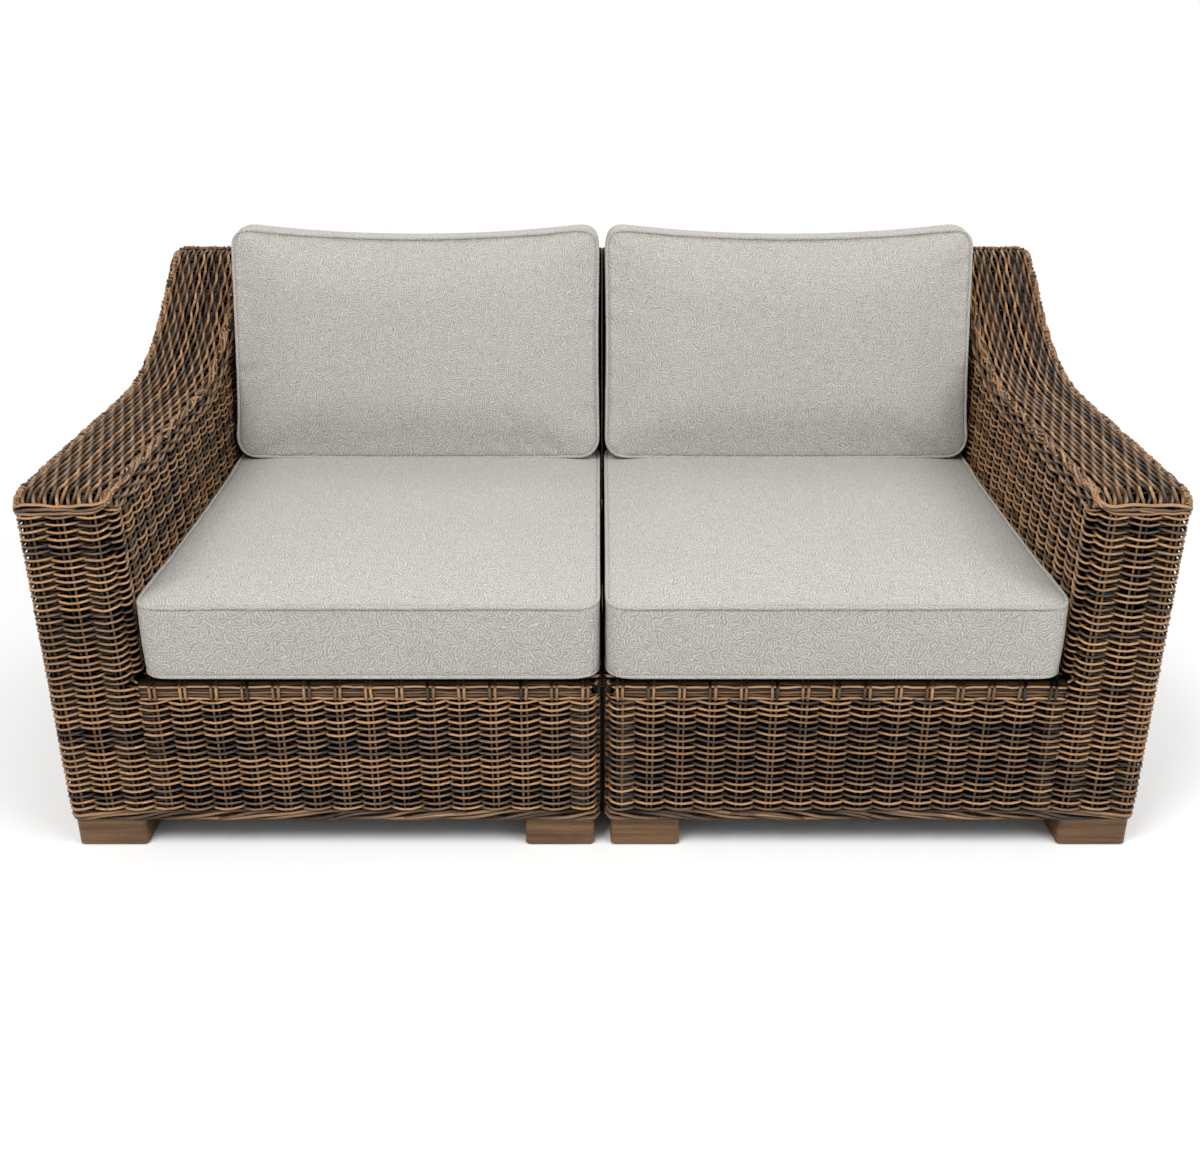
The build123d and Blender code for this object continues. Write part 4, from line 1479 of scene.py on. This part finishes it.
@dataclass(frozen=True)
class CaneFinish:
    """Round resin cane: a colour per strand, streaks along it, rubbed crests, painted highlight
    and shade.
    """

    charcoal: tuple[float, float, float] = (0.058, 0.049, 0.042)
    ash: tuple[float, float, float] = (0.150, 0.119, 0.093)
    umber: tuple[float, float, float] = (0.275, 0.164, 0.084)
    tan: tuple[float, float, float] = (0.620, 0.355, 0.172)
    roughness: float = 0.36

    def make(self) -> bpy.types.Material:
        """Makes the material."""
        r = Recipe("woven_cane")
        tone, crest, along = (r.add("ShaderNodeAttribute", attribute_name=name).outputs["Fac"]
                              for name in ("tone", "crest", "along"))
        path = r.add("ShaderNodeCombineXYZ", {
            "X": r.math("MULTIPLY", along, 13.0),
            "Y": r.math("MULTIPLY", tone, 90.0)}).outputs[0]
        patch = r.noise(1.0, 2.0, path)
        drift = r.math("MULTIPLY", r.math("SUBTRACT", patch, 0.5), 0.85)
        place = r.math("ADD", tone, drift)
        # Crests shift towards tan: partly rubbed cane, partly a painted highlight where a strand
        # stands out.
        worn_and_highlit = r.math("MULTIPLY", r.math("POWER", crest, 3.0), 0.13)
        place = r.math("ADD", r.math("SUBTRACT", place, 0.03), worn_and_highlit)
        colour = r.ramp(place, [
            (0.05, self.charcoal), (0.97, tuple(c * 1.35 for c in self.tan)),
            (0.30, tuple(c * 1.5 for c in self.charcoal)), (0.46, self.ash),
            (0.64, self.umber), (0.84, self.tan)])
        streak = r.noise(1.0, 4.0, stretch=(900, 900, 900))
        colour = r.mix(0.30, colour, r.ramp(streak, [(0.32, (0.30, 0.27, 0.25)),
                                                     (0.68, (1.0, 0.98, 0.95))]))
        # Painted shade: a strand darkens to near black where it passes behind, as in the weave's
        # shade.
        shade = r.ramp(crest, [(0.04, (0.020, 0.020, 0.022)), (0.95, (1.1, 1.1, 1.1)),
                               (0.28, (0.10, 0.10, 0.10)), (0.50, (0.55, 0.55, 0.55)),
                               (0.72, (0.95, 0.95, 0.95))])
        colour = r.mix(1.0, colour, shade)
        # Painted shade: strands darken on the sides that face down, to about a fifth at their
        # undersides.
        tilt = r.add("ShaderNodeSeparateXYZ", {0: r.add(
            "ShaderNodeNewGeometry").outputs["Normal"]}).outputs["Z"]
        under = r.ramp(r.math("MULTIPLY_ADD", tilt, 0.5), [
            (0.16, (0.22, 0.20, 0.19)), (0.66, (1.0, 1.0, 1.0)), (0.42, (0.58, 0.56, 0.55))])
        colour = r.mix(1.0, colour, under)
        rough = r.math("ADD", r.math("MULTIPLY", streak, 0.22), self.roughness - 0.11)
        normal = r.bump(streak, 0.35, 0.0004)
        shine = r.math("MULTIPLY", r.math("POWER", crest, 2.0), 0.50)
        return r.finish(Base_Color=colour, Roughness=rough, Normal=normal,
                        Specular_IOR_Level=shine)


@dataclass(frozen=True)
class ClothFinish:
    """Slubby outdoor cloth, pale and warm grey."""

    light: tuple[float, float, float] = (0.610, 0.590, 0.552)
    dark: tuple[float, float, float] = (0.330, 0.313, 0.283)
    curls: float = 1380.0
    name: str = "cushion_cloth_weave"

    def make(self) -> bpy.types.Material:
        """Makes the material."""
        r = Recipe(self.name)
        warp = r.noise(1.0, 2.0, stretch=(70, 560, 560))
        weft = r.noise(1.0, 2.0, stretch=(560, 70, 70))
        slub = r.math("MAXIMUM", warp, weft)
        fleck = r.noise(900.0, 2.0)
        broad = r.noise(7.0, 2.0)
        bent = r.add("ShaderNodeTexNoise", {"Vector": r.coords, "Scale": 84.0,
                                            "Detail": 1.0}).outputs["Color"]
        bent = r.add("ShaderNodeVectorMath", {0: bent, 1: (0.008,) * 3, 2: r.coords},
                     operation="MULTIPLY_ADD").outputs[0]
        cell = r.add("ShaderNodeTexVoronoi", {"Vector": bent, "Scale": 112.0}).outputs["Color"]
        turn = r.math("MULTIPLY", r.add("ShaderNodeSeparateXYZ", {0: cell}).outputs["X"], TAU)
        slant = r.math("SINE", turn)
        way = r.add("ShaderNodeCombineXYZ", {"X": r.math("COSINE", turn), "Y": slant,
                                             "Z": slant}).outputs[0]
        run = r.add("ShaderNodeVectorMath", {0: bent, 1: way},
                    operation="DOT_PRODUCT").outputs["Value"]
        swirl = r.math("POWER", r.math("MULTIPLY_ADD", r.math(
            "SINE", r.math("MULTIPLY", run, self.curls)), 0.5), 3.0)
        fine = r.math("ADD", r.math("MULTIPLY", slub, 0.60), r.math("MULTIPLY", fleck, 0.38))
        height = r.math("ADD", fine, r.math("MULTIPLY_ADD", swirl, 0.340, -0.098))
        colour = r.ramp(height, [(0.36, self.dark), (0.74, self.light)])
        # Painted shade: the cloth darkens in a narrow strip beside each seam.
        seam = r.add("ShaderNodeAttribute", attribute_name="seam").outputs["Fac"]
        colour = r.mix(1.0, colour, r.ramp(seam, [(0.12, (0.58,) * 3), (0.75, (1.0,) * 3)]))
        colour = r.mix(0.10, colour, r.ramp(broad, [(0.3, (0.80, 0.79, 0.77)),
                                                    (0.7, (1, 1, 1))]))
        normal = r.bump(height, 0.6, 0.0012)
        return r.finish(Base_Color=colour, Roughness=0.92, Normal=normal,
                        Specular_IOR_Level=0.25, Sheen_Weight=0.12, Sheen_Roughness=0.5)


@dataclass(frozen=True)
class WoodFinish:
    """Stained block feet with a straight level grain."""

    dark: tuple[float, float, float] = (0.085, 0.040, 0.015)
    middle: tuple[float, float, float] = (0.160, 0.082, 0.034)
    light: tuple[float, float, float] = (0.235, 0.130, 0.058)

    def make(self) -> bpy.types.Material:
        """Makes the material."""
        r = Recipe("foot_wood_grain")
        bands = r.noise(1.0, 4.0, stretch=(5, 5, 120), roughness=0.6)
        pores = r.noise(1.0, 3.0, stretch=(60, 60, 900))
        colour = r.ramp(bands, [(0.28, self.dark), (0.72, self.light), (0.5, self.middle)])
        colour = r.mix(0.35, colour, r.ramp(pores, [(0.35, (0.35, 0.3, 0.27)),
                                                    (0.6, (1, 1, 1))]))
        rough = r.math("ADD", r.math("MULTIPLY", pores, 0.2), 0.33)
        return r.finish(Base_Color=colour, Roughness=rough,
                        Normal=r.bump(pores, 0.3, 0.0006), Specular_IOR_Level=0.3)


@dataclass(frozen=True)
class CoatFinish:
    """A plain coated, moulded or bare surface with a fine grain of its own."""

    name: str
    colour: tuple[float, float, float]
    roughness: float
    metallic: float = 0.0
    grain: float = 700.0
    depth: float = 0.0002

    def make(self) -> bpy.types.Material:
        """Makes the material."""
        r = Recipe(self.name)
        fine = r.noise(self.grain, 3.0)
        broad = r.noise(14.0, 2.0)
        low = tuple(c * 0.72 for c in self.colour)
        colour = r.ramp(broad, [(0.3, low), (0.7, self.colour)])
        rough = r.math("ADD", r.math("MULTIPLY", fine, 0.16), self.roughness - 0.08)
        return r.finish(Base_Color=colour, Roughness=rough, Metallic=self.metallic,
                        Normal=r.bump(fine, 0.4, self.depth))


@dataclass(frozen=True)
class EndFinish:
    """The woven ends between the sections, which face each other across a slot."""

    # The ends are dark all over, painted shade of the narrow slot that they face.
    colour: tuple[float, float, float] = (0.055, 0.042, 0.033)

    def make(self) -> bpy.types.Material:
        """Makes the material."""
        r = Recipe("end_weave")
        parts = r.add("ShaderNodeSeparateXYZ", {0: r.coords}).outputs
        rowed = r.math("MULTIPLY", parts["Z"], math.pi / Weave.pitch)
        column = r.math("MULTIPLY", parts["Y"], math.pi / Weave.column)
        weave = r.math("MULTIPLY", r.math("SINE", rowed), r.math("SINE", column))
        height = r.math("ABSOLUTE", weave)
        tone = r.noise(1.0, 2.0, stretch=(6, 6, 176))
        colour = r.ramp(tone, [(0.3, tuple(c * 0.5 for c in self.colour)),
                               (0.75, (0.16, 0.095, 0.055)), (0.5, self.colour)])
        # Painted shade: the gaps between the cells are near black.
        colour = r.mix(height, grey(0.006), colour, "MIX")
        return r.finish(Base_Color=colour, Roughness=0.5, Normal=r.bump(height, 0.8, 0.003))


@dataclass
class Cushion:
    """A boxed cushion with a crowned face, swollen as filled cloth and welted at its seams.

    Attributes:
        side: The section.
        name: Seat or back cushion, as its nodes have it.
        cloth: Material of its cover.
        cord_cloth: Material of its welts.
        low: Low corner in the cushion's own plane.
        high: High corner in the plane.
        draws: How far its near, right, far and left edges are drawn in.
        thickness: Between the seams.
        crown: Rise of the crowned face before it is filled.
        centre: Place of the crown between the near and far edges.
        origin: Place of the plane's origin in section depth and height.
        up: Direction of the plane's second axis in depth and height.
        out: Direction of its thickness in depth and height.
        rise: How much later the near edge starts at the foot of the thickness.
        reach: How far the filling may push the cloth out.
        boxing_reach: How far it may do so between the seams, near them.
        corner: Radius of its corners in the plane.
        welt: Radius of its welts.
        sunk: Share of its radius by which a welt's middle lies out of the cloth.
        voxel: Size of the cloth's faces before smoothing.
        fill: How tight it is; not used.
        pucker: How deep the cloth puckers beside its upper seam.
        pucker_rates: How many puckers go round it, in six waves.
        bulges: How far the filling pushes the boxing out at its near, right, far and left
            edges, half way between the seams.
        taper: How much further in the right edge lies at its far end.
        pressed: Places in the plane between which the crown is pressed flat.
        shaded: Width of the strip beside a seam that lies in its shade.
    """

    side: Side
    name: str
    cloth: bpy.types.Material
    cord_cloth: bpy.types.Material
    low: tuple[float, float]
    high: tuple[float, float]
    draws: tuple[float, float, float, float]
    thickness: float
    crown: float
    centre: float
    origin: tuple[float, float]
    up: tuple[float, float]
    out: tuple[float, float]
    rise: float = 0.0
    reach: float = 0.012
    boxing_reach: float = 0.0025
    corner: float = 0.034
    welt: float = 0.0030
    sunk: float = 0.35
    voxel: float = 0.0092
    fill: float = 0.75
    pucker: float = 0.00144
    pucker_rates: tuple[int, ...] = (41, 67, 97, 29, 53, 83)
    bulges: tuple[float, float, float, float] = (0.0, 0.0, 0.0, 0.0)
    taper: float = 0.0
    pressed: tuple[float, float] = (2.0, 3.0)
    shaded: float = 0.011

    def world(self, points: np.ndarray) -> np.ndarray:
        """Row-frame places of points given in the plane and its thickness."""
        up, out = np.array(self.up), np.array(self.out)
        profile = np.array(self.origin) + points[:, 1:2] * up + points[:, 2:3] * out
        return np.column_stack([self.side.value * points[:, 0], profile[:, 0] + SIZES.shift,
                                profile[:, 1]])

    def edge(self, unit: np.ndarray, height: np.ndarray) -> np.ndarray:
        """Points of the drawn-in outline for points of a square's edge.

        Args:
            unit: Points on the edge of the square from -1 to 1.
            height: Their places in the thickness.

        Returns:
            The points in the plane.
        """
        share = np.clip(1 - height / self.thickness, 0, 1)
        low = np.column_stack([np.full(len(unit), self.low[0]),
                               self.low[1] + self.rise * share])
        high = np.broadcast_to(self.high, low.shape)
        middle, half = (low + high) / 2, (high - low) / 2
        place = unit * half
        inner = np.clip(place, -(half - self.corner), half - self.corner)
        way = place - inner
        size = np.linalg.norm(way, axis=1, keepdims=True)
        place = np.where(size > 1e-9, inner + way / np.maximum(size, 1e-9) * self.corner,
                         place)
        near, right, far, left = self.draws
        spread = 1 - (place / half) ** 2
        place[:, 1] += np.where(unit[:, 1] < 0, near, -far) * spread[:, 0] * np.abs(unit[:, 1])
        place[:, 0] += np.where(unit[:, 0] < 0, left, -right) * spread[:, 1] * np.abs(
            unit[:, 0])
        near, right, far, left = self.bulges
        swell = 1 - np.abs(2 * share - 1) ** 2.4
        place[:, 1] += np.where(unit[:, 1] < 0, -near, far) * swell * np.abs(unit[:, 1]) ** 4
        place[:, 0] += np.where(unit[:, 0] < 0, -left, right) * swell * np.abs(unit[:, 0]) ** 4
        place[:, 0] -= self.taper * np.clip(unit[:, 0], 0, 1) * (unit[:, 1] + 1) / 2
        return middle + place

    def shape(self, unit: np.ndarray) -> np.ndarray:
        """Maps a cube from -1 to 1 to the cushion before it is swollen."""
        size = np.maximum(np.abs(unit[:, 0]), np.abs(unit[:, 1]))
        size = np.maximum(size, 1e-6)
        height = (unit[:, 2] + 1) / 2 * self.thickness
        rim = self.edge(unit[:, :2] / size[:, None], height)
        middle = np.array([(self.low[0] + self.high[0]) / 2,
                           self.low[1] + (self.high[1] - self.low[1]) * self.centre])
        plan = middle + (rim - middle) * size[:, None]
        rest = 1 - size
        dome = 1 - (1 - np.clip(rest / 0.75, 0, 1)) ** 2.6
        free = 1 - np.clip((plan[:, 1] - self.pressed[0])
                           / (self.pressed[1] - self.pressed[0]), 0, 1)
        height = height + self.crown * dome * free * np.clip(unit[:, 2], 0, 1)
        return np.column_stack([plan, height])

    def seam(self, height: float, count: int = 400) -> np.ndarray:
        """Points of a seam line, evenly spaced, in the plane and its thickness."""
        angle = np.linspace(0, TAU, 4 * count, endpoint=False)
        unit = np.column_stack([np.cos(angle), np.sin(angle)])
        unit /= np.max(np.abs(unit), axis=1, keepdims=True)
        line = self.edge(unit, np.full(len(unit), height))
        steps = np.linalg.norm(np.diff(np.vstack([line, line[:1]]), axis=0), axis=1)
        lengths = np.concatenate([[0], np.cumsum(steps)])
        wanted = np.linspace(0, lengths[-1], count, endpoint=False)
        line = np.vstack([line, line[:1]])
        plan = np.column_stack([np.interp(wanted, lengths, line[:, k]) for k in (0, 1)])
        return np.column_stack([plan, np.full(count, height)])

    def build(self) -> None:
        """Builds the cushion and its welts."""
        mesh = bpy.data.meshes.new(self.side.node(self.name))
        cube = bmesh.new()
        bmesh.ops.create_cube(cube, size=2.0)
        bmesh.ops.subdivide_edges(cube, edges=cube.edges[:], cuts=40, use_grid_fill=True)
        unit = np.array([v.co for v in cube.verts])
        for vert, place in zip(cube.verts, self.shape(unit)):
            vert.co = place
        bmesh.ops.recalc_face_normals(cube, faces=cube.faces[:])
        cube.to_mesh(mesh)
        cube.free()
        piece = bpy.data.objects.new(self.side.node(self.name) + "_cloth", mesh)
        bpy.context.scene.collection.objects.link(piece)
        self.remesh(piece)
        rest = self.points(piece.data)
        swollen = self.swell(piece)
        self.settle(piece, rest, swollen)
        self.cloth_cover(piece)
        self.cords(piece)

    def points(self, mesh: bpy.types.Mesh) -> np.ndarray:
        """The mesh's vertices as rows."""
        place = np.zeros(len(mesh.vertices) * 3, np.float32)
        mesh.vertices.foreach_get("co", place)
        return place.reshape(-1, 3).astype(float)

    def remesh(self, piece: bpy.types.Object) -> None:
        """Rebuilds the mesh in even faces."""
        even = piece.modifiers.new("even", "REMESH")
        even.mode = "VOXEL"
        even.voxel_size = self.voxel
        mesh = bpy.data.meshes.new_from_object(
            piece.evaluated_get(bpy.context.evaluated_depsgraph_get()))
        piece.modifiers.remove(even)
        piece.data = mesh

    def swell(self, piece: bpy.types.Object) -> np.ndarray:
        """Fills the cloth with pressure and returns where its points go."""
        scene = bpy.context.scene
        cloth = piece.modifiers.new("filling", "CLOTH")
        options = cloth.settings
        options.quality = 5
        options.mass = 0.3
        options.use_pressure = True
        options.uniform_pressure_force = 4.0
        options.tension_stiffness = options.compression_stiffness = 12.0
        options.shear_stiffness = 6.0
        options.bending_stiffness = 0.6
        options.effector_weights.gravity = 0.0
        cloth.collision_settings.use_self_collision = False
        last = 20
        cloth.point_cache.frame_start, cloth.point_cache.frame_end = 1, last
        scene.frame_start, scene.frame_end = 1, last
        for frame in range(1, last + 1):
            scene.frame_set(frame)
        filled = piece.evaluated_get(bpy.context.evaluated_depsgraph_get())
        place = self.points(filled.to_mesh())
        piece.modifiers.remove(cloth)
        scene.frame_set(1)
        return place

    def settle(self, piece: bpy.types.Object, rest: np.ndarray,
               swollen: np.ndarray) -> None:
        """Caps how far the filling moves the cloth, and puckers it beside the seams.

        Args:
            piece: The cushion.
            rest: Its points before filling.
            swollen: Its points after filling.
        """
        seams = np.vstack([self.seam(0.0), self.seam(self.thickness)])
        gap = self.seam_gap(rest, seams)
        free, beside, edge = 0.11, 0.07, 0.001
        cap = self.reach * np.clip(gap / free, 0, 1) ** 0.8
        boxing = (rest[:, 2] > edge) & (rest[:, 2] < self.thickness - edge)
        cap = np.where(boxing & (gap < beside), np.minimum(cap, self.boxing_reach), cap)
        move = swollen - rest
        size = np.linalg.norm(move, axis=1)
        keep = np.minimum(1.0, cap / np.maximum(size, 1e-9))
        place = rest + move * keep[:, None]
        chance = np.random.default_rng(zlib.crc32(piece.name.encode()))
        phases = chance.uniform(0, TAU, len(self.pucker_rates))
        turn = np.arctan2(place[:, 1] - (self.low[1] + self.high[1]) / 2,
                          place[:, 0] - (self.low[0] + self.high[0]) / 2)
        ripple = sum(np.sin(turn * rate + phase)
                     for rate, phase in zip(self.pucker_rates, phases)) / 3
        length, start, lowest, foot = 0.022, 0.006, 0.0004, 0.004
        near = np.exp(-gap / length) * np.clip(gap / start, 0, 1)
        top = place[:, 2] > self.thickness * 0.98
        place[:, 2] += np.where(top, self.pucker, 0.0) * ripple * near
        place[:, 2] = np.where(rest[:, 2] < foot, np.maximum(place[:, 2], lowest),
                               place[:, 2])
        self.mark_seams(piece, gap)
        placed = self.world(place)
        piece.data.vertices.foreach_set("co", placed.astype(np.float32).ravel())
        if self.side is Side.LEFT:
            piece.data.flip_normals()
        piece.data.update()

    def seam_gap(self, points: np.ndarray, seams: np.ndarray) -> np.ndarray:
        """Distance from each point to the nearest seam point."""
        result = np.empty(len(points))
        for start in range(0, len(points), 2000):
            part = points[start:start + 2000]
            result[start:start + 2000] = np.sqrt(
                ((part[:, None, :] - seams[None]) ** 2).sum(2).min(1))
        return result

    def mark_seams(self, piece: bpy.types.Object, gap: np.ndarray) -> None:
        """Writes how far each point lies from a seam, up to one inside the shaded strip."""
        share = np.clip(gap / self.shaded, 0, 1).astype(np.float32)
        piece.data.attributes.new("seam", "FLOAT", "POINT").data.foreach_set("value", share)

    def cloth_cover(self, piece: bpy.types.Object) -> None:
        """Dresses the cushion and hands it over."""
        piece.data.materials.clear()
        piece.data.materials.append(self.cloth)
        smooth = piece.modifiers.new("smooth", "SUBSURF")
        smooth.levels = smooth.render_levels = 1
        piece.data.shade_smooth()
        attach(piece, self.side.node(self.name))
        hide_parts(self.side.node(self.name + "_cover"),
                    self.side.node(self.name + "_core"))
        log.info("%s: %d faces before smoothing", piece.name, len(piece.data.polygons))

    def cords(self, piece: bpy.types.Object) -> None:
        """Builds the two welts where the cloth's seams came to lie."""
        mesh = bpy.data.meshes.new_from_object(
            piece.evaluated_get(bpy.context.evaluated_depsgraph_get()))
        tree = BVHTree.FromPolygons([v.co for v in mesh.vertices],
                                    [p.vertices[:] for p in mesh.polygons])
        bpy.data.meshes.remove(mesh)
        paths = []
        for height in (self.welt + 0.0006, self.thickness - 0.0004):
            line = self.world(self.seam(height, 300))
            hits = [tree.find_nearest(Vector(place)) for place in line]
            path = np.array([spot + normal * self.welt * self.sunk
                             for spot, normal, _, _ in hits])
            for _ in range(3):
                path = (np.roll(path, 1, 0) + path * 2 + np.roll(path, -1, 0)) / 4
            paths.append((path, 1.0))
        cords = tubes(self.side.node(self.name) + "_welts", paths, self.welt, 3, cyclic=True)
        cords.materials.clear()
        cords.materials.append(self.cord_cloth)
        cords.shade_smooth()
        cords.attributes.new("seam", "FLOAT", "POINT").data.foreach_set(
            "value", np.ones(len(cords.vertices), np.float32))
        welts = bpy.data.objects.new(self.side.node(self.name) + "_welts_cord", cords)
        bpy.context.scene.collection.objects.link(welts)
        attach(welts, self.side.node(self.name))
        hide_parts(self.side.node(self.name + "_welts"))


def seat_cushion(side: Side, cloth: bpy.types.Material,
                 cord: bpy.types.Material) -> Cushion:
    """The seat cushion of a section, on the deck."""
    return Cushion(side, "seat_cushion", cloth, cord, low=(0.0036, 0.0035),
                   high=(0.7105, 0.7665), draws=(0.004, 0.004, 0.004, 0.001), thickness=0.123,
                   crown=0.01296, centre=0.44, origin=(0.0, 0.3046), up=(1.0, 0.0),
                   out=(0.0, 1.0), reach=0.008, fill=0.8, pressed=(0.46, 0.64),
                   bulges=(0.003, 0.002, 0.0, 0.0015))


def back_cushion(side: Side, cloth: bpy.types.Material,
                 cord: bpy.types.Material) -> Cushion:
    """The back cushion of a section, leaning on the rest."""
    lean = math.radians(SIZES.rest_lean)
    low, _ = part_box(side.node("back_cushion_cover"))
    thick = 0.141
    base = low.z + 0.0047
    rest_foot = seat_outline(SIZES).points[0]
    depth = rest_foot[0] + (base - rest_foot[1]) * math.tan(lean) - 0.0004 / math.cos(lean)
    slant = thick * math.tan(lean)
    return Cushion(side, "back_cushion", cloth, cord, low=(0.005, -slant - 0.014),
                   high=(0.7105, 0.421 - slant), draws=(-0.004, 0.004, 0.020, 0.004),
                   thickness=thick, crown=0.01872, centre=0.5, origin=(depth, base),
                   up=(math.sin(lean), math.cos(lean)),
                   out=(-math.cos(lean), math.sin(lean)), rise=slant, fill=0.7, pucker=0.00264,
                   bulges=(0.0, 0.003, 0.016, 0.003), taper=0.007)


@dataclass(frozen=True)
class Hardware:
    """The finishes of the solids that are shown as they were drawn."""

    def build(self, nodes: dict[str, bpy.types.Object]) -> None:
        """Dresses feet, tubes, screws, glides, clips and the ends at the joint.

        Args:
            nodes: The frame's nodes by name.
        """
        wood = WoodFinish().make()
        tube = CoatFinish("tube_coat", (0.055, 0.045, 0.038), 0.5, grain=900.0).make()
        steel = CoatFinish("screw_steel", (0.55, 0.55, 0.55), 0.35, 1.0).make()
        black = CoatFinish("black_plastic", (0.022, 0.022, 0.022), 0.5).make()
        end = EndFinish().make()
        choice = {"foot_screws": steel, "foot_glides": black, "joint_clips": black,
                  "foot": wood, "base_frame": tube, "seat_frame": tube, "arm_frame": tube,
                  "lower_end": end, "upper_end": end}
        for name, node in nodes.items():
            for start, material in choice.items():
                if name.startswith(start):
                    node.data.materials.clear()
                    node.data.materials.append(material)
                    log.info("%s: %s", name, material.name)
                    break


@dataclass(frozen=True)
class Studio:
    """Floor, light and camera.

    Attributes:
        camera: Place of the camera.
        pitch: How far it looks down, in degrees.
        lens: Focal length for a 36 mm sensor.
        floor_size: Side of the floor.
        shadow_reach: Distances between which the floor turns plain white.
        sky: Strength of the world's own light.
        lamps: Name, place, size and power of each lamp.
        aim: The point that they shine at.
    """

    camera: tuple[float, float, float] = (-0.004, -2.332, 1.3018)
    pitch: float = 24.193
    lens: float = 40.83
    floor_size: float = 30.0
    shadow_reach: tuple[float, float] = (1.15, 1.9)
    sky: float = 0.50
    lamps: tuple[tuple, ...] = (("key", (-1.4, -2.2, 3.7), 2.2, 96.0),
                                ("fill", (2.2, -1.8, 3.0), 2.6, 60.0),
                                ("rear", (0.5, 2.5, 3.3), 3.0, 46.0))
    aim: tuple[float, float, float] = (0.0, 0.0, 0.4)

    def build(self) -> None:
        """Builds the studio."""
        self.floor()
        self.light()
        eye = bpy.data.cameras.new("photo_camera")
        eye.sensor_fit = "HORIZONTAL"
        eye.sensor_width = 36.0
        eye.lens = self.lens
        eye.dof.use_dof = False
        eye.clip_end = 100.0
        holder = bpy.data.objects.new("photo_camera", eye)
        holder.location = self.camera
        holder.rotation_euler = (math.radians(90 - self.pitch), 0.0, 0.0)
        bpy.context.scene.collection.objects.link(holder)
        bpy.context.scene.camera = holder
        bpy.context.scene.view_settings.view_transform = "Standard"

    def floor(self) -> None:
        """Lays the pale floor."""
        sheet = bmesh.new()
        bmesh.ops.create_grid(sheet, x_segments=1, y_segments=1, size=self.floor_size / 2)
        mesh = bpy.data.meshes.new("floor")
        sheet.to_mesh(mesh)
        sheet.free()
        floor = bpy.data.objects.new("floor", mesh)
        bpy.context.scene.collection.objects.link(floor)
        r = Recipe("pale_floor")
        diffuse = r.add("ShaderNodeBsdfDiffuse", {"Color": grey(0.80)})
        seen = r.add("ShaderNodeBsdfDiffuse", {"Color": grey(1.0)})
        path = r.add("ShaderNodeLightPath").outputs
        shows = r.math("MAXIMUM", path["Is Camera Ray"],
                       r.math("MAXIMUM", path["Is Glossy Ray"],
                              path["Is Transmission Ray"]))
        white = r.add("ShaderNodeEmission", {"Color": grey(1.0), "Strength": 1.0})
        reach = r.add("ShaderNodeVectorMath", {0: r.coords}, operation="LENGTH")
        far = r.add("ShaderNodeMapRange", {
            "Value": reach.outputs["Value"], "From Min": self.shadow_reach[0],
            "From Max": self.shadow_reach[1]}, interpolation_type="SMOOTHSTEP")
        near = r.add("ShaderNodeMixShader", {0: far.outputs["Result"], 1: seen.outputs[0],
                                             2: white.outputs[0]})
        blend = r.add("ShaderNodeMixShader", {0: shows, 1: diffuse.outputs[0],
                                              2: near.outputs[0]})
        r.feed(r.tree.nodes["Material Output"].inputs[0], blend.outputs[0])
        mesh.materials.append(r.material)

    def light(self) -> None:
        """Sets the world and the soft lamps."""
        world = bpy.data.worlds.new("studio")
        bpy.context.scene.world = world
        world.use_nodes = True
        nodes = Nodes(world.node_tree)
        back = nodes.tree.nodes["Background"]
        nodes.feed(back.inputs["Color"], grey(1.0))
        nodes.feed(back.inputs["Strength"], self.sky)
        seen = nodes.add("ShaderNodeBackground", {"Color": grey(1.0), "Strength": 1.0})
        path = nodes.add("ShaderNodeLightPath").outputs
        shows = nodes.math("MAXIMUM", path["Is Camera Ray"], path["Is Transmission Ray"])
        mix = nodes.add("ShaderNodeMixShader", {0: shows, 1: back.outputs[0],
                                                2: seen.outputs[0]})
        nodes.feed(nodes.tree.nodes["World Output"].inputs[0], mix.outputs[0])
        for name, place, size, power in self.lamps:
            lamp = bpy.data.lights.new(name, "AREA")
            lamp.shape = "DISK"
            lamp.size = size
            lamp.energy = power
            holder = bpy.data.objects.new(name, lamp)
            holder.location = place
            way = Vector(self.aim) - Vector(place)
            holder.rotation_euler = way.to_track_quat("-Z", "Y").to_euler()
            bpy.context.scene.collection.objects.link(holder)


def main() -> None:
    """Builds every sub-assembly round the frame, then the studio."""
    logging.basicConfig(level=logging.INFO, format="%(name)s: %(message)s")
    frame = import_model()
    cane = CaneFinish().make()
    cloth = ClothFinish().make()
    cord = ClothFinish(light=(0.565, 0.545, 0.51), name="welt_cloth").make()
    Hardware().build(frame["nodes"])
    for side in Side:
        WovenSkin(side, cane).build()
        seat_cushion(side, cloth, cord).build()
        back_cushion(side, cloth, cord).build()
    Studio().build()


if __name__ == "__main__":
    main()
